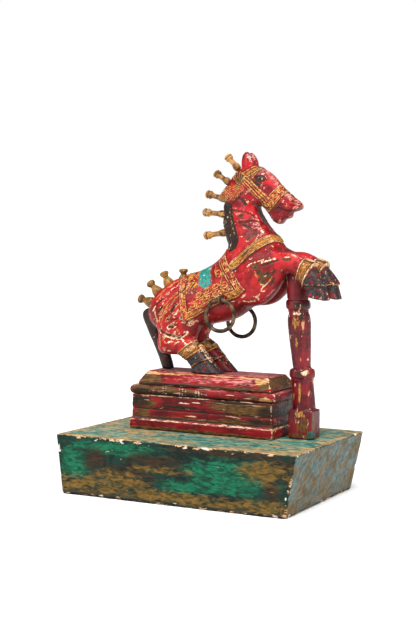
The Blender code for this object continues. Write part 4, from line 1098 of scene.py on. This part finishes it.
for node, (piece_name, patches) in PLINTH_COURSES.items():
    skin, points, normals, ridge = worked_skin(node, 1.25, 2, 0.4)
    x, y, z = points.T
    chips = soft_step(0.2, 0.6, waviness(points, 9, 1.0)) * soft_step(0.25, 0.8, ridge)
    dents = waviness(points * (0.4, 1, 1), 12, 4.0) * 0.22
    comb = np.zeros(len(points))
    if node == "plinth_board":
        combed = (soft_step(COMB_FROM, COMB_FROM + COMB_FADE, x)
                  * (1 - soft_step(COMB_TO - COMB_FADE, COMB_TO, x))
                  * soft_step(0.5, 0.8, -normals[:, 1])
                  * soft_step(-0.3, 0.3, waviness(points * (1, 0, 0), 18, 8.0)))
        comb = around(x % COMB_PITCH, COMB_PITCH / 2, 0.0005, 0.0005) * combed
    points = moved(points, normals, -1.1 * chips - np.maximum(dents, 0) - 0.7 * comb - 0.08)
    course = {name: np.zeros(len(points)) for name in "pale tan brown cream dark".split()}
    lay = partial(add_mark, course)
    rough_edge = 1 + 0.35 * waviness(points * (0.4, 1, 1), 9, 6.0)
    add_patches(course, points, patches, 1.15, rough_edge[:, None])
    lay("cream", 0.85 * comb)
    course["cream"] = np.maximum(0.8 * course["cream"], 0.42 * soft_step(0.4, 1.0, ridge))
    if node == "plinth_block":
        uneven = 0.58 + 0.25 * waviness(points * (0.5, 1, 1), 14, 9.0)
        lay("cream", uneven * around(z, LEDGE_AT, 0.0012, 0.0010))
        # The block's grooves are painted dark: painted shade.
        for groove_at in BLOCK_GROOVES:
            lay("dark", 0.95 * around(z, groove_at, 0.0010, 0.0012))
    # Faces turned up get a painted pink highlight, faces turned down painted shade, and hollows and
    # the foot of each course are darkened.
    course["pale"] = np.maximum(0.6 * course["pale"], 0.44 * soft_step(0.3, 0.9, normals[:, 2]))
    lay("dark", 0.75 * soft_step(0.3, 0.9, -normals[:, 2]))
    above_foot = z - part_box(node)[0].z
    lay("brown", 0.62 * soft_step(0.05, 0.45, -ridge))
    lay("brown", 0.60 * (1 - soft_step(0.001, 0.007, above_foot)))
    lay("grime", np.maximum(0.9 * (1 - soft_step(0, 0.0035, above_foot)),
                            soft_step(0.10, 0.6, -ridge)))
    lay("wear", 0.22 + 0.35 * soft_step(0.3, 1.0, ridge))
    outward(skin, points)
    store_marks(skin, course)
    finish_piece(piece_name, skin, plinth_paint, node)

# %% [markdown]
# ## Support post
#
# The post was turned on a lathe and keeps a square foot, all one piece of wood. Its paint is
# darker, with ochre wood showing in upright patches, a knot in the lower collar and a smear of
# green from the base on its foot.

# %% Support post
POST_PATCHES = [
    ("ochre", 152, -2, 299, 6, 20, 10), ("cream", 152, 0, 315, 7, 20, 3),
    ("dark", 162, 0, 308, 3.5, 20, 6), ("tan", 164, 0, 296, 2, 20, 12),
    ("ochre", 154, 0, 268, 2.8, 20, 7), ("dark", 151, 0, 282, 6, 20, 1.8),
    ("dark", 170, 0, 280.5, 6, 20, 2), ("cream", 171, 0, 238, 2, 20, 3),
    ("tan", 161, 0, 238, 1.6, 20, 4), ("dark", 160.5, 0, 212.5, 4.2, 20, 4.2),
    ("cream", 170, 0, 215.5, 6, 20, 4.5), ("ochre", 161, 0, 183, 2.4, 20, 16),
    ("ochre", 149, 0, 176, 2.6, 20, 6), ("cream", 152, 0, 195, 2, 20, 3),
    ("ochre", 164, 0, 146, 10, 20, 6), ("brown", 170, 0, 128, 12, 20, 14),
    ("brown", 162, 0, 110, 22, 30, 5), ("green", 182, 6, 113, 6, 16, 7),
    ("dark", 163, 0, 329, 16, 30, 6), ("brown", 184, 12, 128, 4, 6, 18),
]
POST_COATS = [
    ("pale", "#98363e", "#c07a70"), ("ochre", "#6f4516", "#b07c34"), ("tan", "#8f6536", "#c89c68"),
    ("brown", "#3c220f", "#6e451f"), ("cream", "#c99a74", "#e6cba8"),
    ("green", "#0c4038", "#22695a"), ("dark", "#170e0a", "#37261a"),
]
COLLARS = ((0.2054, 0.2221), (0.3207, 0.3374))
COLLAR_SWELL, COLLAR_GROOVE = 1.7, 1.3
FOOT_TOP = 0.155
skin, points, normals, ridge = worked_skin("support_post", 1.0, 10, 0.45)
z = points[:, 2]
lathe = np.sin(z / (1.7 * MM)) * 0.06 * (z > FOOT_TOP)
for low, high in COLLARS:
    share = (z - (low + high) / 2) / ((high - low) / 2)
    lathe = lathe + COLLAR_SWELL * np.sqrt(np.clip(1 - share**2, 0, 1))
    for groove_at in (low, high):
        lathe = lathe - COLLAR_GROOVE * around(z, groove_at, 0.0008, 0.0012)
dents = waviness(points, 10, 2.0) * 0.2
points = moved(points, normals, lathe - np.maximum(dents, 0) - 0.1)
# Ridges get a painted pink highlight, and hollows painted shade.
post_marks = {
    "pale": 0.5 * soft_step(0.4, 1.0, ridge), "grime": 0.8 * soft_step(0.2, 0.9, -ridge),
    "wear": 0.30 + 0.3 * soft_step(0.3, 1.0, ridge),
}
rough_edge = 1 + 0.3 * waviness(points, 6, 3.0)
add_patches(post_marks, points, POST_PATCHES, 1.0, rough_edge[:, None])
outward(skin, points)
store_marks(skin, post_marks)
post_paint = worn_paint("dark_red_oil_paint_on_post", ("#4a0910", "#721019", "#8f2029"), POST_COATS,
                        stroke=(0.8, 0.8, 3), roughness=0.36)
finish_piece("turned_post", skin, post_paint, "support_post")

# %% [markdown]
# ## Pegs
#
# Each peg is a lathe-turned pin. A half profile is drawn from tip to tenon and spun round its axis,
# which is what a lathe does. A spin needs its doubles merged, and its faces turned outwards after.
# The mane's pegs have a grooved knob and a thin shank, the rump's are short spools.

# %% Turned pegs
PEG_STEPS = 40
TENON_LENGTH = 0.012
# Pegs as seat and tip in hundredths
MANE_PEGS = [(39.6, 92, 33.5, 98.3), (35.4, 85.8, 27.6, 90.8), (33.4, 78.6, 23.3, 81.2),
             (34, 71.8, 21.8, 72.8), (34.6, 63.8, 22.4, 62)]
RUMP_PEGS = [(-3.8, 30.3, -11.6, 32.6), (-0.4, 34.6, -6.2, 40.4), (5, 38.6, 1.2, 45.2),
             (12.2, 40.6, 11.9, 46.8)]
# Radius in millimetres and place as a share of the length, from the tip down
MANE_PROFILE = [(0, 1), (3, 0.995), (5, 0.975), (6.6, 0.945), (7.4, 0.905), (7.4, 0.87),
                (6.5, 0.845), (5.9, 0.83), (6.6, 0.81), (7.3, 0.78), (7.2, 0.745), (6.2, 0.71),
                (5, 0.675), (4.6, 0.62), (4.5, 0.5), (4.6, 0.4), (5.2, 0.34), (6.2, 0.285),
                (6.6, 0.22), (6.6, 0.14), (6.1, 0.06), (5.5, 0)]
RUMP_PROFILE = [(0, 1), (4, 0.99), (6.6, 0.965), (8, 0.915), (8.3, 0.86), (7.9, 0.8), (7, 0.745),
                (5.6, 0.69), (4.9, 0.64), (5.6, 0.57), (7, 0.48), (8.6, 0.37), (9.8, 0.25),
                (10.1, 0.14), (9.6, 0.05), (9, 0)]


def spun(bm, steps):
    """Spins an outline round Z and turns its faces outwards."""
    bmesh.ops.spin(bm, geom=bm.verts[:] + bm.edges[:], axis=(0, 0, 1), cent=(0, 0, 0),
                   angle=math.tau, steps=steps, use_merge=True)
    bmesh.ops.remove_doubles(bm, verts=bm.verts, dist=0.01 * MM)
    bmesh.ops.recalc_face_normals(bm, faces=bm.faces)
    bm.normal_update()


def turned_peg(name, row, profile, groove_at, tenon_mm, material, seed):
    """Spins a profile, turns it to the peg's slant and dents it a little."""
    seat_u, seat_v, tip_u, tip_v = row
    seat = Vector(FIGURE_ORIGIN) + Vector((seat_u, 0, seat_v)) * UNIT
    reach = Vector((tip_u - seat_u, 0, tip_v - seat_v)) * UNIT
    outline = [(radius * MM, share * reach.length) for radius, share in profile]
    outline += [(tenon_mm * MM, 0.0), (tenon_mm * MM, -TENON_LENGTH), (0.0, -TENON_LENGTH)]
    bm = bmesh.new()
    verts = [bm.verts.new((radius, 0, place)) for radius, place in outline]
    for pair in zip(verts, verts[1:]):
        bm.edges.new(pair)
    spun(bm, PEG_STEPS)
    dark_layer = bm.verts.layers.float.new("dark")
    for vert in bm.verts:
        share = vert.co.z / reach.length
        in_groove = 1 - min(1, abs(share - groove_at) / 0.05)
        smear = 1.7 * noise.noise(vert.co / (8 * MM) + Vector((0, seed, 3)))
        vert[dark_layer] = max(in_groove, smear, 0.55 if 0.0 <= share < 0.10 else 0.0)
        dent = noise.noise(vert.co / (6 * MM) + Vector((seed, 0, 0)))
        vert.co -= vert.normal * (max(dent, 0) * 0.5 + 0.05) * MM
    slant = reach.to_track_quat("Z", "Y").to_matrix().to_4x4()
    bmesh.ops.transform(bm, matrix=Matrix.Translation(seat) @ slant, verts=bm.verts)
    mesh = as_mesh(name, bm)
    store_marks(mesh, {"wear": np.full(len(mesh.vertices), 0.15)})
    finish_piece(name, mesh, material, name.replace("turned_", ""))


PEG_COATS = [("dark", "#2f1d0e", "#63431f")]
# Kind as its name, its rows, profile, groove, tenon, paint's name, paint, slot and first seed
PEG_KINDS = [
    ("mane", MANE_PEGS, MANE_PROFILE, 0.83, 3.4, "ochre_paint_on_turned_wood",
     ("#85551f", "#b98546", "#dcb67c"), "ochre_paint", 1),
    ("rump", RUMP_PEGS, RUMP_PROFILE, 0.64, 4.0, "gold_ochre_paint_on_turned_wood",
     ("#6b4512", "#a5752a", "#cfa453"), "gold_ochre_paint", 21),
]
for kind, rows, profile, groove_at, tenon_mm, paint_name, paint, slot_name, seed in PEG_KINDS:
    peg_paint = worn_paint(paint_name, paint, PEG_COATS)
    for number, row in enumerate(rows):
        turned_peg(f"turned_{kind}_peg_{number + 1}", row, profile, groove_at, tenon_mm, peg_paint,
                   seed + number)

# %% [markdown]
# ## Iron rings and staples
#
# A smith bent each ring from a round bar and closed it in the staple's eye. A small circle spun
# round the ring's centre gives the bar, and shallow noise leaves the hammer's marks. The staple is
# a bent wire, so it is a curve with a round bevel, made a mesh before its place is fixed. The iron
# is browned by old rust and polished where it is rubbed.

# %% Rings and staples
RING_WIRE = 0.0035
RING_RADIUS = 0.0302 - RING_WIRE
RING_STEPS, WIRE_STEPS = 110, 18
STAPLE_WIRE = 0.0017
STAPLE_PRONG = 0.022
TOUCHING_GAP = 0.0003
RING_PLANE = 11.2
STAPLE_U = 36.5
QUARTER_TURN = Matrix.Rotation(math.pi / 2, 3, "X")

iron, shader, add = new_material("forged_iron_with_brown_rust")
place = add("TexCoord", output="Object")
broad, pits = (
    add("TexNoise", {"Vector": place, "Scale": 1 / (size * MM), "Detail": detail}, "Fac")
    for size, detail in ((11, 5), (0.9, 3)))
rust = add("MapRange", {0: broad, 1: 0.42, 2: 0.66})
set_inputs(iron.node_tree, shader, {
    "Base Color": add("Mix", {0: rust, 6: linear("#2b211b"), 7: linear("#6e5238")}, 2,
                      data_type="RGBA"),
    "Metallic": add("MapRange", {0: broad, 1: 0.4, 2: 0.7, 3: 0.75, 4: 0.35}),
    "Normal": add("Bump", {"Height": pits, "Strength": 0.5, "Distance": 0.3 * MM}),
    "Roughness": 0.48})

for side_name, sign, eye_v in (("near", -1, 33.7), ("far", 1, 29.8)):
    eye = Vector(FIGURE_ORIGIN) + Vector((STAPLE_U, sign * RING_PLANE, eye_v)) * UNIT
    bm = bmesh.new()
    bmesh.ops.create_circle(bm, segments=WIRE_STEPS, radius=RING_WIRE)
    bmesh.ops.translate(bm, vec=(RING_RADIUS, 0, 0), verts=bm.verts)
    bmesh.ops.rotate(bm, matrix=QUARTER_TURN, cent=(0, 0, 0), verts=bm.verts)
    spun(bm, RING_STEPS)
    for vert in bm.verts:
        dent = noise.noise(vert.co / (5 * MM) + Vector((eye_v, 0, 0)))
        vert.co -= vert.normal * max(dent, 0) * 0.6 * MM
    bmesh.ops.rotate(bm, matrix=QUARTER_TURN, cent=(0, 0, 0), verts=bm.verts)
    bmesh.ops.translate(bm, vec=eye - Vector((0, 0, RING_RADIUS)), verts=bm.verts)
    ring_name = f"forged_ring_{side_name}"
    finish_piece(ring_name, as_mesh(ring_name, bm), iron, f"flank_ring_{side_name}")

    half = RING_WIRE + 2 * TOUCHING_GAP + STAPLE_WIRE
    bend = [(half * math.cos(a), half * math.sin(a)) for a in np.radians(np.arange(90, -91, -15))]
    route = [(-STAPLE_PRONG, half), *bend, (-STAPLE_PRONG, -half)]
    curve = bpy.data.curves.new("staple_route", "CURVE")
    curve.dimensions = "3D"
    curve.bevel_depth = STAPLE_WIRE
    curve.bevel_resolution = 4
    curve.use_fill_caps = True
    spline = curve.splines.new("POLY")
    spline.points.add(len(route) - 1)
    for point, (out, rise) in zip(spline.points, route):
        point.co = (eye.x, eye.y + sign * out, eye.z + rise, 1)
    bm = bmesh.new()
    bm.from_mesh(made_real(in_scene("staple_wire", curve)))
    bmesh.ops.remove_doubles(bm, verts=bm.verts, dist=0.001 * MM)
    bmesh.ops.recalc_face_normals(bm, faces=bm.faces)
    staple_name = f"bent_staple_{side_name}"
    finish_piece(staple_name, as_mesh(staple_name, bm), iron, f"flank_staple_{side_name}")

# %% [markdown]
# ## Floor, light and camera
#
# The horse was photographed on a white sweep under soft, even light from above. A wide pale floor,
# a bright plain surround and three large lamps give the same. The camera stands a little above the
# horse's middle, 27 degrees round towards its head.

# %% Floor
FLOOR_RADIUS = 14.0
bm = bmesh.new()
bmesh.ops.create_circle(bm, cap_ends=True, segments=96, radius=FLOOR_RADIUS)
floor = in_scene("pale_floor", as_mesh("pale_floor", bm))
paper, shader, _ = new_material("white_background_paper")
set_inputs(paper.node_tree, shader, {"Base Color": linear("#fbfbfa"), "Roughness": 0.9})
floor.data.materials.append(paper)
print("floor radius", FLOOR_RADIUS, "m")

# %% Light
ROOM_LIGHT = 0.31
AIM = Vector((0.0, 0.0, 0.30))
# Lamp as its name, kind, place, angle or size, and strength
LAMPS = [("top_lamp", "SUN", (0.3, -0.9, 2.2), math.radians(40), 3.6),
         ("key_lamp", "AREA", (-1.3, -2.2, 1.6), 1.0, 34),
         ("head_lamp", "AREA", (2.2, -0.5, 1.3), 1.0, 26)]
world = bpy.data.worlds.new("white_surround")
world.use_nodes = True
sky = world.node_tree
seen_directly = add_node(sky, "LightPath", output="Is Camera Ray")
brightness = add_node(sky, "MapRange", {0: seen_directly, 3: ROOM_LIGHT, 4: 1.0})
set_inputs(sky, sky.nodes["Background"], {"Color": linear("#ffffff"), "Strength": brightness})
bpy.context.scene.world = world
for name, kind, place, size, strength in LAMPS:
    light = bpy.data.lights.new(name, kind)
    setattr(light, "angle" if kind == "SUN" else "size", size)
    light.energy = strength
    lamp = in_scene(name, light)
    lamp.location = place
    lamp.rotation_euler = (AIM - Vector(place)).to_track_quat("-Z", "Y").to_euler()
bpy.context.scene.view_settings.view_transform = "Standard"
print("lamps:", len(LAMPS))

# %% Camera
CAMERA_AT = Vector((1.00746, -1.99381, 0.44600))
CAMERA_AIM = Vector((-0.0105, 0.0, 0.3118))
CAMERA_ROLL = math.radians(0.585)
camera = in_scene("camera", bpy.data.cameras.new("camera"))
camera.data.lens = 75
camera.data.sensor_width = 36
looking = (CAMERA_AIM - CAMERA_AT).to_track_quat("-Z", "Y").to_matrix().to_4x4()
camera.matrix_world = Matrix.Translation(CAMERA_AT) @ looking @ Matrix.Rotation(CAMERA_ROLL, 4, "Z")
bpy.context.scene.camera = camera
print("camera distance", round((CAMERA_AT - CAMERA_AIM).length, 3), "m")
